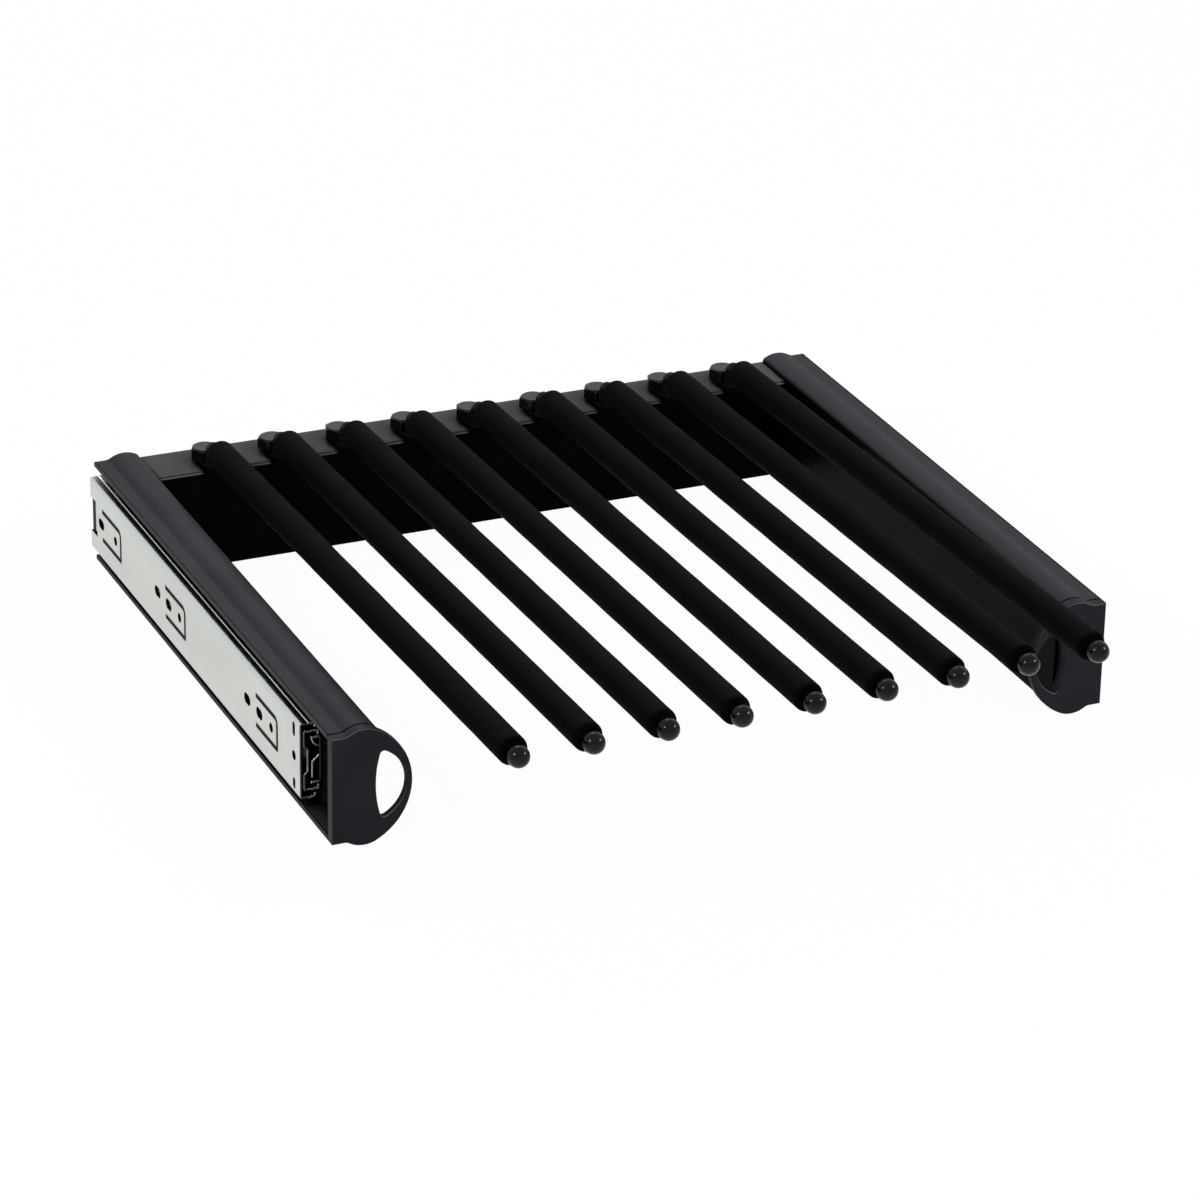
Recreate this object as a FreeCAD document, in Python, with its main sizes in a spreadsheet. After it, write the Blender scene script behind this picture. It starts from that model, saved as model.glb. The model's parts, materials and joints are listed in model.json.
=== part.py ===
import FreeCAD, Part
import math
import os
import Sketcher

# Pull-out trouser rack, side mounted on two ball-bearing slides.
#
# Two black casings ride on three-member slides that are screwed inside a wardrobe.
# A box rail joins the casings at the back and carries a row of bolted, bent rods in
# foam sleeves, each closed by a ball tip. End caps with a finger loop close the casings.
#
# Frame: +X to the right, +Y to the back of the wardrobe, +Z up. The rack is closed.
# The origin is at the middle of the footprint, on the surface the rack stands on.

ROD_COUNT = 9
BALLS_PER_ROW = 4
SLIDE_SCREW_COUNT = 3
LEFT = -1
RIGHT = 1
SIDE_NAMES = {LEFT: "left", RIGHT: "right"}
# Each hexagon bolt is left at its own turn, in degrees.
BOLT_TURNS = (4.0, -9.0, 12.0, -3.0, 8.0, -12.0, 1.0, 10.0, -6.0)

# Driving dimensions in millimetres and degrees: alias, value, meaning.
DRIVING_SIZES = [
    ("rack_width", 468.0, "over the outer faces of the two slides"),
    ("slide_length", 350.0, "closed length of a slide"),
    ("slide_height", 45.0, "height of a slide"),
    ("slide_thickness", 12.7, "cabinet face to casing web"),
    ("slide_setback", 40.5, "front of the slide behind the face of the end cap"),
    ("slide_proud", 3.0, "slide stands out of the casing by this much"),
    ("steel", 1.2, "sheet of the outer member and of every web"),
    ("flange_steel", 1.4, "flange of the middle and inner members"),
    ("outer_flange_reach", 9.4, "depth of the outer member"),
    ("outer_lip_drop", 2.9, "lip of the outer member, from the top of its flange"),
    ("bead_width", 2.4, "bead along the outer member, over the ball row"),
    ("bead_rise", 0.45, "height of that bead"),
    ("middle_gap", 0.9, "between the webs of the outer and middle members"),
    ("middle_reach", 11.2, "far edge of the middle member from the cabinet"),
    ("middle_lip_drop", 3.2, "lip of the middle member, from the top of its flange"),
    ("middle_step", 1.9, "depth of the pressed channel along the middle web"),
    ("channel_half_height", 6.5, "half height of the pressed channel"),
    ("channel_ramp", 2.0, "height of the slope beside the pressed channel"),
    ("inner_flange_start", 6.4, "near edge of the inner member from the cabinet"),
    ("outer_ball", 3.6, "ball between outer and middle members"),
    ("outer_ball_place", 5.6, "outer ball row from the cabinet"),
    ("inner_ball", 3.0, "ball between middle and inner members"),
    ("inner_ball_place", 7.7, "inner ball row from the cabinet"),
    ("race_depth", 0.3, "depth of a ball groove"),
    ("race_play", 0.1, "play between a ball and its groove"),
    ("cage_sheet", 0.5, "sheet of the ball cages"),
    ("cage_length", 150.0, "length of a ball cage"),
    ("cage_rim", 0.5, "cage outside its balls"),
    ("sheet_bend", 1.6, "outer radius of a folded edge"),
    ("cage_margin", 8.0, "end of the cage to its first ball"),
    ("cage_play", 0.02, "play round a ball in its cage"),
    ("outer_cage_web", 1.4, "web of the outer cage from the cabinet"),
    ("inner_cage_web", 5.5, "web of the inner cage from the cabinet"),
    ("tab_length", 34.0, "lanced tab along the slide"),
    ("tab_height", 19.5, "lanced tab across the slide"),
    ("tab_slit", 1.5, "slit round a lanced tab"),
    ("tab_corner", 4.5, "rounding of a lanced tab"),
    ("front_tab", 34.0, "front edge of the front tab from the front of the slide"),
    ("rear_tab", 55.0, "front edge of the rear tab from the rear of the slide"),
    ("tab_pitch", 112.0, "middle tab to rear tab"),
    ("tab_hole_place", 10.0, "round hole from the front edge of its tab"),
    ("round_hole", 5.6, "round mounting hole in the outer member"),
    ("oblong_length", 9.8, "oblong mounting hole, along the slide"),
    ("oblong_height", 6.2, "oblong mounting hole, across the slide"),
    ("first_oblong", 28.5, "tab front edge to its first oblong hole"),
    ("second_oblong", 47.5, "tab front edge to its second oblong hole"),
    ("rear_hole_place", 19.3, "rear oblong hole from the rear end of the slide"),
    ("end_slot_place", 8.8, "front slots and front hole from the end of the slide"),
    ("end_slot_width", 3.6, "front slots, along the slide"),
    ("upper_slot_height", 8.5, "upper front slot, across the slide"),
    ("upper_slot_offset", 15.8, "upper front slot above the middle of the slide"),
    ("lower_slot_height", 6.4, "lower front slot, across the slide"),
    ("lower_slot_offset", 16.6, "lower front slot below the middle of the slide"),
    ("notch_depth", 9.5, "notch in the rear edge of the outer member"),
    ("notch_top_height", 10.5, "upper edge of the rear notch above the middle"),
    ("notch_bottom_height", 11.3, "lower edge of the rear notch below the middle"),
    ("notch_hook_depth", 2.0, "slot at the foot of the rear notch, beyond its depth"),
    ("notch_hook_height", 3.4, "height of that slot"),
    ("stop_length", 9.0, "rear stop along the slide"),
    ("stop_height", 33.0, "height of the rear stop"),
    ("stop_depth", 4.4, "rear stop from the outer web"),
    ("stop_scallop", 1.2, "depth of the hollows in the face of the rear stop"),
    ("stop_gap", 0.6, "rear stop to the rear end of the middle member"),
    ("catch_sheet", 0.9, "sheet of the catch at the front of the inner member"),
    ("catch_length", 4.5, "catch along the slide"),
    ("catch_setback", 0.5, "catch behind the front edge of the inner member"),
    ("catch_radius", 5.9, "outer radius of the upper wing of the catch"),
    ("catch_offset", 3.0, "root of the lower wing above the middle of the slide"),
    ("catch_width", 4.6, "lower wing of the catch from the web"),
    ("catch_drop", 11.0, "lower wing of the catch below the middle of the slide"),
    ("access_hole", 9.0, "screwdriver hole in the middle web"),
    ("casing_tail", 1.0, "casing beyond the rear end of the slide"),
    ("casing_width", 27.5, "open edge to inner wall"),
    ("casing_edge_height", 62.4, "height at the open edge"),
    ("casing_flat", 7.0, "flat strip beside the open edge"),
    ("casing_lip", 2.6, "wall above and below the slide"),
    ("casing_wall", 2.0, "other walls of the casing"),
    ("casing_corner", 2.5, "rounding of the inner wall"),
    ("loop_radius", 36.6, "outer radius of the finger loop and casing crown"),
    ("loop_centre", 9.1, "centre of that radius from the open edge"),
    ("crest_radius", 16.0, "radius of the crest"),
    ("crest_angle", 26.5, "where the crest meets the loop radius, degrees"),
    ("cap_thickness", 4.5, "plate of an end cap"),
    ("cap_rim", 2.5, "rim behind that plate, flush with the casing"),
    ("cap_edge_round", 0.8, "rounding round the face of an end cap"),
    ("cap_seam", 0.5, "bevel of the rim where it meets the casing"),
    ("grip_radius", 21.6, "outer arc of the finger hole"),
    ("grip_centre", 20.7, "centre of that arc from the open edge"),
    ("grip_back_radius", 67.0, "inner arc of the finger hole"),
    ("grip_back_place", 25.1, "inner arc at mid height, from the open edge"),
    ("grip_corner", 2.2, "rounding of the corners of the finger hole"),
    ("grip_edge_round", 1.0, "rounding of the rims of the finger hole"),
    ("spigot_length", 9.0, "spigot of an end cap inside the casing"),
    ("spigot_height", 44.0, "height of the spigot"),
    ("spigot_wall", 1.6, "wall of the spigot"),
    ("spigot_play", 0.15, "play of the spigot inside the casing"),
    ("spigot_place", 24.6, "far side of the spigot from the open edge, clear of the grip"),
    ("rail_depth", 34.0, "front to back of the rail"),
    ("rail_height", 61.0, "height of the rail"),
    ("rail_top", 29.8, "top of the rail above the middle of the slides"),
    ("rail_wall", 2.0, "wall of the rail"),
    ("rail_chamfer", 1.4, "chamfer along the top front edge of the rail"),
    ("plug_length", 16.0, "plug in the end of the rail"),
    ("plug_play", 0.1, "play of the plug inside the rail"),
    ("plug_relief", 9.0, "half height of the hollow in the plug"),
    ("rail_screw_offset", 22.0, "rail screws above and below the middle of the slides"),
    ("rod_margin", 35.5, "axis of an end rod from the end of the rail"),
    ("rod_diameter", 7.0, "rod"),
    ("rod_lead", 11.5, "leg of the rod in front of its bolt"),
    ("rod_bend", 6.0, "bend radius on the axis of the rod"),
    ("rod_height", 14.0, "axis of the rod above the rail, just after the bend"),
    ("foot_thickness", 1.6, "foot of the rod, flat on the rail"),
    ("foot_width", 12.0, "foot of the rod, round its bolt"),
    ("foot_toe", 8.0, "foot of the rod, round its leg"),
    ("rod_tilt", 1.8, "rise of the rod towards the front, degrees"),
    ("sleeve_diameter", 16.8, "foam sleeve"),
    ("sleeve_start", 26.0, "rear end of the sleeve in front of the bolt of its rod"),
    ("sleeve_length", 444.0, "length of the sleeve"),
    ("sleeve_play", 0.05, "play of the sleeve on its rod"),
    ("sleeve_round", 1.2, "rounding of the ends of the sleeve"),
    ("tip_diameter", 12.2, "ball tip"),
    ("tip_place", 7.0, "centre of the ball tip in front of the sleeve"),
    ("tip_grip", 4.6, "rod inside the ball tip, from its rear"),
    ("tip_play", 0.05, "play of the rod in the ball tip"),
    ("bolt_flats", 15.0, "head of a rod's bolt, across its flats"),
    ("bolt_head", 7.0, "height of that head"),
    ("bolt_crown", 13.6, "flat round top of that head"),
    ("bolt_bevel", 30.0, "slope of the bevel round the top of that head, degrees"),
    ("bolt_shank", 8.0, "shank of a rod's bolt"),
    ("bolt_end", 2.0, "shank of a rod's bolt beyond its nut"),
    ("bolt_play", 0.25, "play of the shank in the foot and in the rail"),
    ("nut_flats", 13.0, "nut under the rail, across its flats"),
    ("nut_height", 6.5, "nut under the rail"),
    ("thread_play", 0.05, "play round a threaded shank"),
    ("screw_shank", 4.0, "shank of every screw"),
    ("screw_length", 9.0, "length of a screw under its head"),
    ("screw_head", 7.4, "head of every screw"),
    ("screw_head_height", 2.0, "height of a screw head"),
    ("screw_bevel", 0.8, "bevel of a screw head and of its point"),
    ("first_slide_screw", 84.0, "first slide screw from the front of the slide"),
    ("last_slide_screw", 20.0, "last slide screw from the rear of the slide"),
    ("lever_place", 40.0, "pivot of the release lever from the front of the slide"),
    ("lever_pin", 4.0, "pin of the release lever"),
    ("lever_pin_play", 0.08, "play of the lever on its pin"),
    ("lever_boss", 9.0, "round boss of the release lever"),
    ("lever_length", 34.0, "pivot to finger pad of the lever"),
    ("lever_tail", 16.0, "pivot to catch end of the lever"),
    ("lever_height", 5.0, "arm of the lever"),
    ("lever_pad", 14.0, "height of the finger pad of the lever"),
    ("lever_pad_length", 9.0, "length of the finger pad of the lever"),
    ("lever_catch", 10.0, "height of the catch end of the lever"),
    ("lever_sheet", 2.0, "thickness of the lever"),
    ("lever_gap", 0.4, "lever to the web of the inner member"),
]


class Size:
    """A number together with the spreadsheet expression that gives it."""

    def __init__(self, number, text):
        self.number = number
        self.text = text

    def __add__(self, other):
        other = as_size(other)
        return Size(self.number + other.number, f"({self.text} + {other.text})")

    def __sub__(self, other):
        other = as_size(other)
        return Size(self.number - other.number, f"({self.text} - {other.text})")

    def __mul__(self, other):
        other = as_size(other)
        return Size(self.number * other.number, f"({self.text} * {other.text})")

    def __truediv__(self, other):
        other = as_size(other)
        return Size(self.number / other.number, f"({self.text} / {other.text})")

    def __radd__(self, other):
        return as_size(other) + self

    def __rsub__(self, other):
        return as_size(other) - self

    def __rmul__(self, other):
        return as_size(other) * self

    def __neg__(self):
        return Size(-self.number, f"(0 - {self.text})")


def as_size(value):
    """Take a plain number as a Size; a Size stays as it is."""
    if isinstance(value, Size):
        return value
    return Size(float(value), repr(float(value)))


def root(size):
    return Size(math.sqrt(size.number), f"sqrt({size.text})")


def sine(angle):
    return Size(math.sin(math.radians(angle.number)), f"sin({angle.text} * 1 deg)")


def cosine(angle):
    return Size(math.cos(math.radians(angle.number)), f"cos({angle.text} * 1 deg)")


def hypotenuse_leg(hypotenuse, leg):
    return root(hypotenuse * hypotenuse - leg * leg)


class Sheet:
    """The driving dimensions, each read as an attribute that carries its expression."""

    def __init__(self, document):
        table = document.addObject("Spreadsheet::Sheet", "Sizes")
        for row, (alias, value, meaning) in enumerate(DRIVING_SIZES, start=1):
            table.set(f"A{row}", str(value))
            table.setAlias(f"A{row}", alias)
            table.set(f"B{row}", meaning)
            setattr(self, alias, Size(value, f"Sizes.{alias}"))


document = FreeCAD.newDocument("TrouserRack")
size = Sheet(document)
document.recompute()
sub_parts = []

# ---------------------------------------------------------------- places worked out once

half_width = size.rack_width / 2 - size.slide_proud
crest_centre_u = size.loop_centre + (size.loop_radius - size.crest_radius) * sine(size.crest_angle)
crest_centre_z = (size.loop_radius - size.crest_radius) * cosine(size.crest_angle)
crest_z = crest_centre_z + size.crest_radius
web_u = size.slide_thickness - size.slide_proud

cap_depth = size.cap_thickness + size.cap_rim
casing_length = size.slide_setback - cap_depth + size.slide_length + size.casing_tail
rod_axis_y = cap_depth + casing_length - size.rail_depth / 2
tip_distance = size.sleeve_start + (size.sleeve_length + size.tip_place) * cosine(size.rod_tilt)
tip_reach = tip_distance + size.tip_diameter / 2 - rod_axis_y
rear_y = cap_depth + casing_length

face_y = (tip_reach - rear_y) / 2
slide_z = crest_z
slide_front = face_y + size.slide_setback
casing_front = face_y + cap_depth
rail_middle_y = face_y + rod_axis_y
rail_top_z = slide_z + size.rail_top
rail_end = half_width - size.casing_width
rod_row = rail_end * 2 - size.rod_margin * 2
rod_pitch = rod_row / (ROD_COUNT - 1)
first_rod = size.rod_margin - rail_end
slide_screw_row = size.slide_length - size.first_slide_screw - size.last_slide_screw
slide_screw_pitch = slide_screw_row / (SLIDE_SCREW_COUNT - 1)
middle_length = size.slide_length - size.stop_length - size.stop_gap


# ---------------------------------------------------------------- drawing helpers

def bind(target, path, value):
    """Tie one property of an object to the expression of a Size."""
    target.setExpression(path, as_size(value).text)


def origin_feature(body, role):
    """An origin plane or axis of the body, found by its role."""
    return next(item for item in body.Origin.OriginFeatures if item.Role == role)


def new_body(label):
    """A PartDesign body that becomes one node."""
    body = document.addObject("PartDesign::Body", label)
    body.Label = label
    body.AllowCompound = True
    sub_parts.append(body)
    return body


def new_sketch(body, name, role, lift=0):
    """A sketch on an origin plane, lifted along the plane's normal."""
    sketch = body.newObject("Sketcher::SketchObject", name)
    sketch.AttachmentSupport = [(origin_feature(body, role), "")]
    sketch.MapMode = "FlatFace"
    bind(sketch, "AttachmentOffset.Base.z", lift)
    return sketch


def hold(sketch, kind, element, point, value):
    """Hold one coordinate of a sketch point at a bound distance from the origin."""
    value = as_size(value)
    constraint = Sketcher.Constraint(kind, -1, 1, element, point, value.number)
    index = sketch.addConstraint(constraint)
    bind(sketch, f"Constraints[{index}]", value)


def line_to(across, up):
    return {"end": (across, up), "centre": None}


def arc_to(across, up, centre_across, centre_up, turn):
    """An arc to a point round a centre; turn is 1 anticlockwise and -1 clockwise."""
    return {"end": (across, up), "centre": (centre_across, centre_up), "turn": turn}


def angle_about(centre, point):
    return math.atan2(point[1] - centre[1], point[0] - centre[0])


def numbers(pair):
    return (as_size(pair[0]).number, as_size(pair[1]).number)


def add_piece(sketch, start, step):
    """Add one line or arc; returns its index and which of its ends comes first."""
    begin = numbers(start)
    end = numbers(step["end"])
    if step["centre"] is None:
        line = Part.LineSegment(FreeCAD.Vector(*begin), FreeCAD.Vector(*end))
        return sketch.addGeometry(line, False), 1, 2
    centre = numbers(step["centre"])
    radius = math.dist(centre, begin)
    circle = Part.Circle(FreeCAD.Vector(*centre), FreeCAD.Vector(0, 0, 1), radius)
    first, last = angle_about(centre, begin), angle_about(centre, end)
    if step["turn"] > 0:
        return sketch.addGeometry(Part.ArcOfCircle(circle, first, last), False), 1, 2
    return sketch.addGeometry(Part.ArcOfCircle(circle, last, first), False), 2, 1


def chain_pieces(sketch, start, steps):
    """Add lines and arcs end to end, each held by its corners; returns their ends.

    Each corner is held by its two distances from the origin. An arc also holds the
    coordinate of its centre that its two ends leave free.
    """
    corner = start
    chain = []
    for step in steps:
        element, first, last = add_piece(sketch, corner, step)
        chain.append((element, first, last))
        hold(sketch, "DistanceX", element, first, corner[0])
        hold(sketch, "DistanceY", element, first, corner[1])
        if step["centre"] is not None:
            begin, end = numbers(corner), numbers(step["end"])
            if abs(end[1] - begin[1]) >= abs(end[0] - begin[0]):
                hold(sketch, "DistanceX", element, 3, step["centre"][0])
            else:
                hold(sketch, "DistanceY", element, 3, step["centre"][1])
        corner = step["end"]
    return chain


def meet(sketch, chain):
    """Make the end of each piece coincide with the beginning of the next."""
    for (element, _, last), (following, first, _) in zip(chain, chain[1:]):
        sketch.addConstraint(Sketcher.Constraint("Coincident", element, last, following, first))


def open_path(sketch, start, steps):
    """An open chain, whose last point is held as well."""
    chain = chain_pieces(sketch, start, steps)
    meet(sketch, chain)
    element, _, last = chain[-1]
    hold(sketch, "DistanceX", element, last, steps[-1]["end"][0])
    hold(sketch, "DistanceY", element, last, steps[-1]["end"][1])


def outline(sketch, start, steps):
    """A closed chain of lines and arcs whose last step returns to the start."""
    chain = chain_pieces(sketch, start, steps)
    meet(sketch, chain + chain[:1])


def circle(sketch, across, up, diameter):
    """A full circle held by its centre and its radius."""
    centre = FreeCAD.Vector(*numbers((across, up)))
    radius = as_size(diameter) / 2
    shape = Part.Circle(centre, FreeCAD.Vector(0, 0, 1), radius.number)
    element = sketch.addGeometry(shape, False)
    hold(sketch, "DistanceX", element, 3, across)
    hold(sketch, "DistanceY", element, 3, up)
    index = sketch.addConstraint(Sketcher.Constraint("Radius", element, radius.number))
    bind(sketch, f"Constraints[{index}]", radius)


def rectangle(sketch, left, bottom, right, top):
    steps = [line_to(right, bottom), line_to(right, top), line_to(left, top),
             line_to(left, bottom)]
    outline(sketch, (left, bottom), steps)


def hexagon(sketch, across, flats, turn):
    """A hexagon centred on the first axis of the sketch, turned by some degrees."""
    corner = flats / 2 / cosine(as_size(30.0))
    angles = [as_size(turn + 60.0 * number) for number in range(6)]
    corners = [(across + corner * cosine(angle), corner * sine(angle)) for angle in angles]
    outline(sketch, corners[-1], [line_to(*place) for place in corners])


def flat_slot(sketch, middle, up, length, height):
    """A slot with round ends, lying along the first axis of the sketch."""
    radius = height / 2
    left = middle - length / 2 + radius
    right = middle + length / 2 - radius
    steps = [
        line_to(right, up - radius),
        arc_to(right, up + radius, right, up, 1),
        line_to(left, up + radius),
        arc_to(left, up - radius, left, up, 1),
    ]
    outline(sketch, (left, up - radius), steps)


def pad(body, sketch, length, reverse=False):
    """Extrude a sketch along its normal, or against it."""
    feature = body.newObject("PartDesign::Pad", sketch.Name + "_pad")
    feature.Profile = sketch
    feature.Reversed = reverse
    bind(feature, "Length", length)
    sketch.Visibility = False
    return feature


def pocket(body, sketch, depth):
    """Cut a sketch to both sides of its plane, over a total depth."""
    feature = body.newObject("PartDesign::Pocket", sketch.Name + "_cut")
    feature.Profile = sketch
    feature.SideType = "Symmetric"
    bind(feature, "Length", depth)
    sketch.Visibility = False
    return feature


def revolve(body, sketch, axis):
    """Turn a sketch once round one of its own axes."""
    feature = body.newObject("PartDesign::Revolution", sketch.Name + "_turn")
    feature.Profile = sketch
    feature.ReferenceAxis = (sketch, [axis])
    feature.Angle = 360
    sketch.Visibility = False
    return feature


def repeat(body, features, role, length, count):
    """Repeat features evenly along an origin axis and make the row the tip."""
    pattern = body.newObject("PartDesign::LinearPattern", body.Name + "_row")
    pattern.Originals = features
    pattern.Direction = (origin_feature(body, role), [""])
    pattern.Occurrences = count
    bind(pattern, "Length", length)
    body.Tip = pattern
    return pattern


def lengthwise_pad(body, name, draw, start, length):
    """Extrude a cross-section from a place along Y towards the back."""
    sketch = new_sketch(body, name, "XZ_Plane", -start)
    draw(sketch)
    return pad(body, sketch, length, reverse=True)


def sideways_cut(body, name, draw, place, depth):
    """Cut an outline drawn in the YZ plane, centred on a place along X."""
    sketch = new_sketch(body, name, "YZ_Plane", place)
    draw(sketch)
    return pocket(body, sketch, depth)


def across(side, distance):
    """X of a point at a distance inward from the open edge of a casing."""
    return side * (half_width - distance)


def in_slide(side, depth):
    """X of a point at a depth inward from the cabinet face of a slide."""
    return across(side, depth - size.slide_proud)


def section(sketch, side, start, steps, place=across):
    """Draw a closed cross-section given for either side; arcs turn over on the right."""
    turned = []
    for step in steps:
        end = (place(side, step["end"][0]), slide_z + step["end"][1])
        if step["centre"] is None:
            turned.append(line_to(*end))
            continue
        centre = (place(side, step["centre"][0]), slide_z + step["centre"][1])
        turned.append(arc_to(*end, *centre, -side * step["turn"]))
    outline(sketch, (place(side, start[0]), slide_z + start[1]), turned)


def mirrored(start, steps, bridge=None):
    """Steps above the middle of the slide, continued by their mirror image below it.

    The bridge joins the last upper point to its image; it is a straight line unless
    an arc is given. The chain ends at the mirror image of the start.
    """
    ends = [start] + [step["end"] for step in steps]
    chain = list(steps)
    chain.append(bridge or line_to(ends[-1][0], -ends[-1][1]))
    for number in range(len(steps) - 1, -1, -1):
        end = (ends[number][0], -ends[number][1])
        if steps[number]["centre"] is None:
            chain.append(line_to(*end))
            continue
        centre = steps[number]["centre"]
        chain.append(arc_to(*end, centre[0], -centre[1], steps[number]["turn"]))
    return chain


def tie_place(part, x=0, y=0, z=0):
    """Place a sub-part by bound distances."""
    for axis, value in zip("xyz", (x, y, z)):
        bind(part, f"Placement.Base.{axis}", value)


# ---------------------------------------------------------------- slide cross-sections

half_slide = size.slide_height / 2
outer_flange_low = half_slide - size.steel
outer_race = size.outer_ball / 2 + size.race_play
outer_row_z = outer_flange_low + size.race_depth - outer_race
middle_top = outer_row_z - outer_race + size.race_depth
middle_low = middle_top - size.flange_steel
inner_race = size.inner_ball / 2 + size.race_play
inner_row_z = middle_low + size.race_depth - inner_race
inner_top = inner_row_z - inner_race + size.race_depth
inner_low = inner_top - size.flange_steel
middle_web = size.steel + size.middle_gap
inner_web = size.slide_thickness - size.steel


def groove_half_width(race):
    flat = race - size.race_depth
    return root(race * race - flat * flat)


def groove(row, flange, row_z, race, heading):
    """A ball groove in a flange; heading is 1 from left to right and -1 back."""
    half = groove_half_width(race) * heading
    return [line_to(row - half, flange), arc_to(row + half, flange, row, row_z, 1)]


def draw_outer_member(sketch, side):
    """C-section: web to the cabinet, flanges with a bead, a ball groove and a lip."""
    bend = size.sheet_bend
    reach = size.outer_flange_reach
    row = size.outer_ball_place
    bead_half = size.bead_width / 2
    bead_sink = (bead_half * bead_half / size.bead_rise - size.bead_rise) / 2
    lip_low = half_slide - size.outer_lip_drop
    start = (0, half_slide - bend)
    steps = [
        arc_to(bend, half_slide, bend, half_slide - bend, -1),
        line_to(row - bead_half, half_slide),
        arc_to(row + bead_half, half_slide, row, half_slide - bead_sink, -1),
        line_to(reach - bend, half_slide),
        arc_to(reach, half_slide - bend, reach - bend, half_slide - bend, -1),
        line_to(reach, lip_low),
        line_to(reach - size.steel, lip_low),
        line_to(reach - size.steel, outer_flange_low),
        *groove(row, outer_flange_low, outer_row_z, outer_race, -1),
        line_to(size.steel, outer_flange_low),
    ]
    section(sketch, side, start, mirrored(start, steps) + [line_to(*start)], in_slide)


def draw_middle_member(sketch, side):
    """Web with a pressed channel; each flange has a groove on both of its faces."""
    bend = size.sheet_bend
    reach = size.middle_reach
    lip_low = middle_top - size.middle_lip_drop
    channel = middle_web + size.middle_step
    ramp_top = size.channel_half_height + size.channel_ramp
    start = (channel, size.channel_half_height)
    steps = [
        line_to(middle_web, ramp_top),
        line_to(middle_web, middle_top - bend),
        arc_to(middle_web + bend, middle_top, middle_web + bend, middle_top - bend, -1),
        *groove(size.outer_ball_place, middle_top, outer_row_z, outer_race, 1),
        line_to(reach - bend, middle_top),
        arc_to(reach, middle_top - bend, reach - bend, middle_top - bend, -1),
        line_to(reach, lip_low),
        line_to(reach - size.steel, lip_low),
        line_to(reach - size.steel, middle_low),
        *groove(size.inner_ball_place, middle_low, inner_row_z, inner_race, -1),
        line_to(middle_web + size.steel, middle_low),
        line_to(middle_web + size.steel, ramp_top),
        line_to(channel + size.steel, size.channel_half_height),
    ]
    section(sketch, side, start, mirrored(start, steps) + [line_to(*start)], in_slide)


def draw_inner_member(sketch, side):
    """C-section open to the cabinet, its web flat on the casing."""
    bend = size.sheet_bend
    back = size.slide_thickness
    start = (inner_web, inner_low)
    steps = [
        line_to(size.inner_flange_start, inner_low),
        line_to(size.inner_flange_start, inner_top),
        *groove(size.inner_ball_place, inner_top, inner_row_z, inner_race, 1),
        line_to(back - bend, inner_top),
        arc_to(back, inner_top - bend, back - bend, inner_top - bend, -1),
    ]
    section(sketch, side, start, mirrored(start, steps) + [line_to(*start)], in_slide)


def draw_cage(sketch, side, web, row, ball, row_z):
    """U-section that joins the upper and the lower ball row."""
    half_sheet = size.cage_sheet / 2
    edge = row + ball / 2 + size.cage_rim
    start = (web, row_z + half_sheet)
    steps = [
        line_to(edge, row_z + half_sheet),
        line_to(edge, row_z - half_sheet),
        line_to(web + size.cage_sheet, row_z - half_sheet),
    ]
    section(sketch, side, start, mirrored(start, steps) + [line_to(*start)], in_slide)


# ---------------------------------------------------------------- slide parts

tab_top = size.tab_height / 2
rear_tab_front = size.slide_length - size.rear_tab
tab_fronts = [size.front_tab, rear_tab_front - size.tab_pitch, rear_tab_front]


def draw_tab_slit(sketch, front):
    """The slit that frees a tab on three sides, rounded at its upper front corner."""
    near = slide_front + front
    rear = near + size.tab_length
    top, low = slide_z + tab_top, slide_z - tab_top
    corner, slit = size.tab_corner, size.tab_slit
    steps = [
        line_to(near + corner, top),
        arc_to(near, top - corner, near + corner, top - corner, 1),
        line_to(near, low),
        line_to(rear, low),
        line_to(rear, low + slit),
        line_to(near + slit, low + slit),
        line_to(near + slit, top - corner),
        arc_to(near + corner, top - slit, near + corner, top - corner, -1),
        line_to(rear, top - slit),
        line_to(rear, top),
    ]
    outline(sketch, (rear, top), steps)


def draw_mounting_holes(sketch):
    """Round holes in the tabs and the oblong holes behind them."""
    for front in tab_fronts:
        circle(sketch, slide_front + front + size.tab_hole_place, slide_z, size.round_hole)
    oblongs = [front + place for front in tab_fronts[:2]
               for place in (size.first_oblong, size.second_oblong)]
    oblongs.append(size.slide_length - size.rear_hole_place)
    for place in oblongs:
        flat_slot(sketch, slide_front + place, slide_z, size.oblong_length,
                  size.oblong_height)


def draw_front_slots(sketch):
    """Two upright slots and a round hole near the front end."""
    middle = slide_front + size.end_slot_place
    radius = size.end_slot_width / 2
    left, right = middle - radius, middle + radius
    for offset, height in ((size.upper_slot_offset, size.upper_slot_height),
                           (-size.lower_slot_offset, size.lower_slot_height)):
        top = slide_z + offset + height / 2 - radius
        low = slide_z + offset - height / 2 + radius
        steps = [
            arc_to(right, low, middle, low, 1),
            line_to(right, top),
            arc_to(left, top, middle, top, 1),
            line_to(left, low),
        ]
        outline(sketch, (left, low), steps)
    circle(sketch, middle, slide_z, size.round_hole)


def draw_rear_notch(sketch):
    """Notch in the rear edge, with a short slot at its foot."""
    rear = slide_front + size.slide_length
    beyond = rear + size.notch_depth
    deep = rear - size.notch_depth
    foot = slide_z - size.notch_bottom_height
    top = slide_z + size.notch_top_height
    corners = [
        (beyond, foot),
        (beyond, top),
        (deep, top),
        (deep, foot + size.notch_hook_height),
        (deep - size.notch_hook_depth, foot + size.notch_hook_height),
        (deep - size.notch_hook_depth, foot),
    ]
    outline(sketch, corners[-1], [line_to(*corner) for corner in corners])


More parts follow.
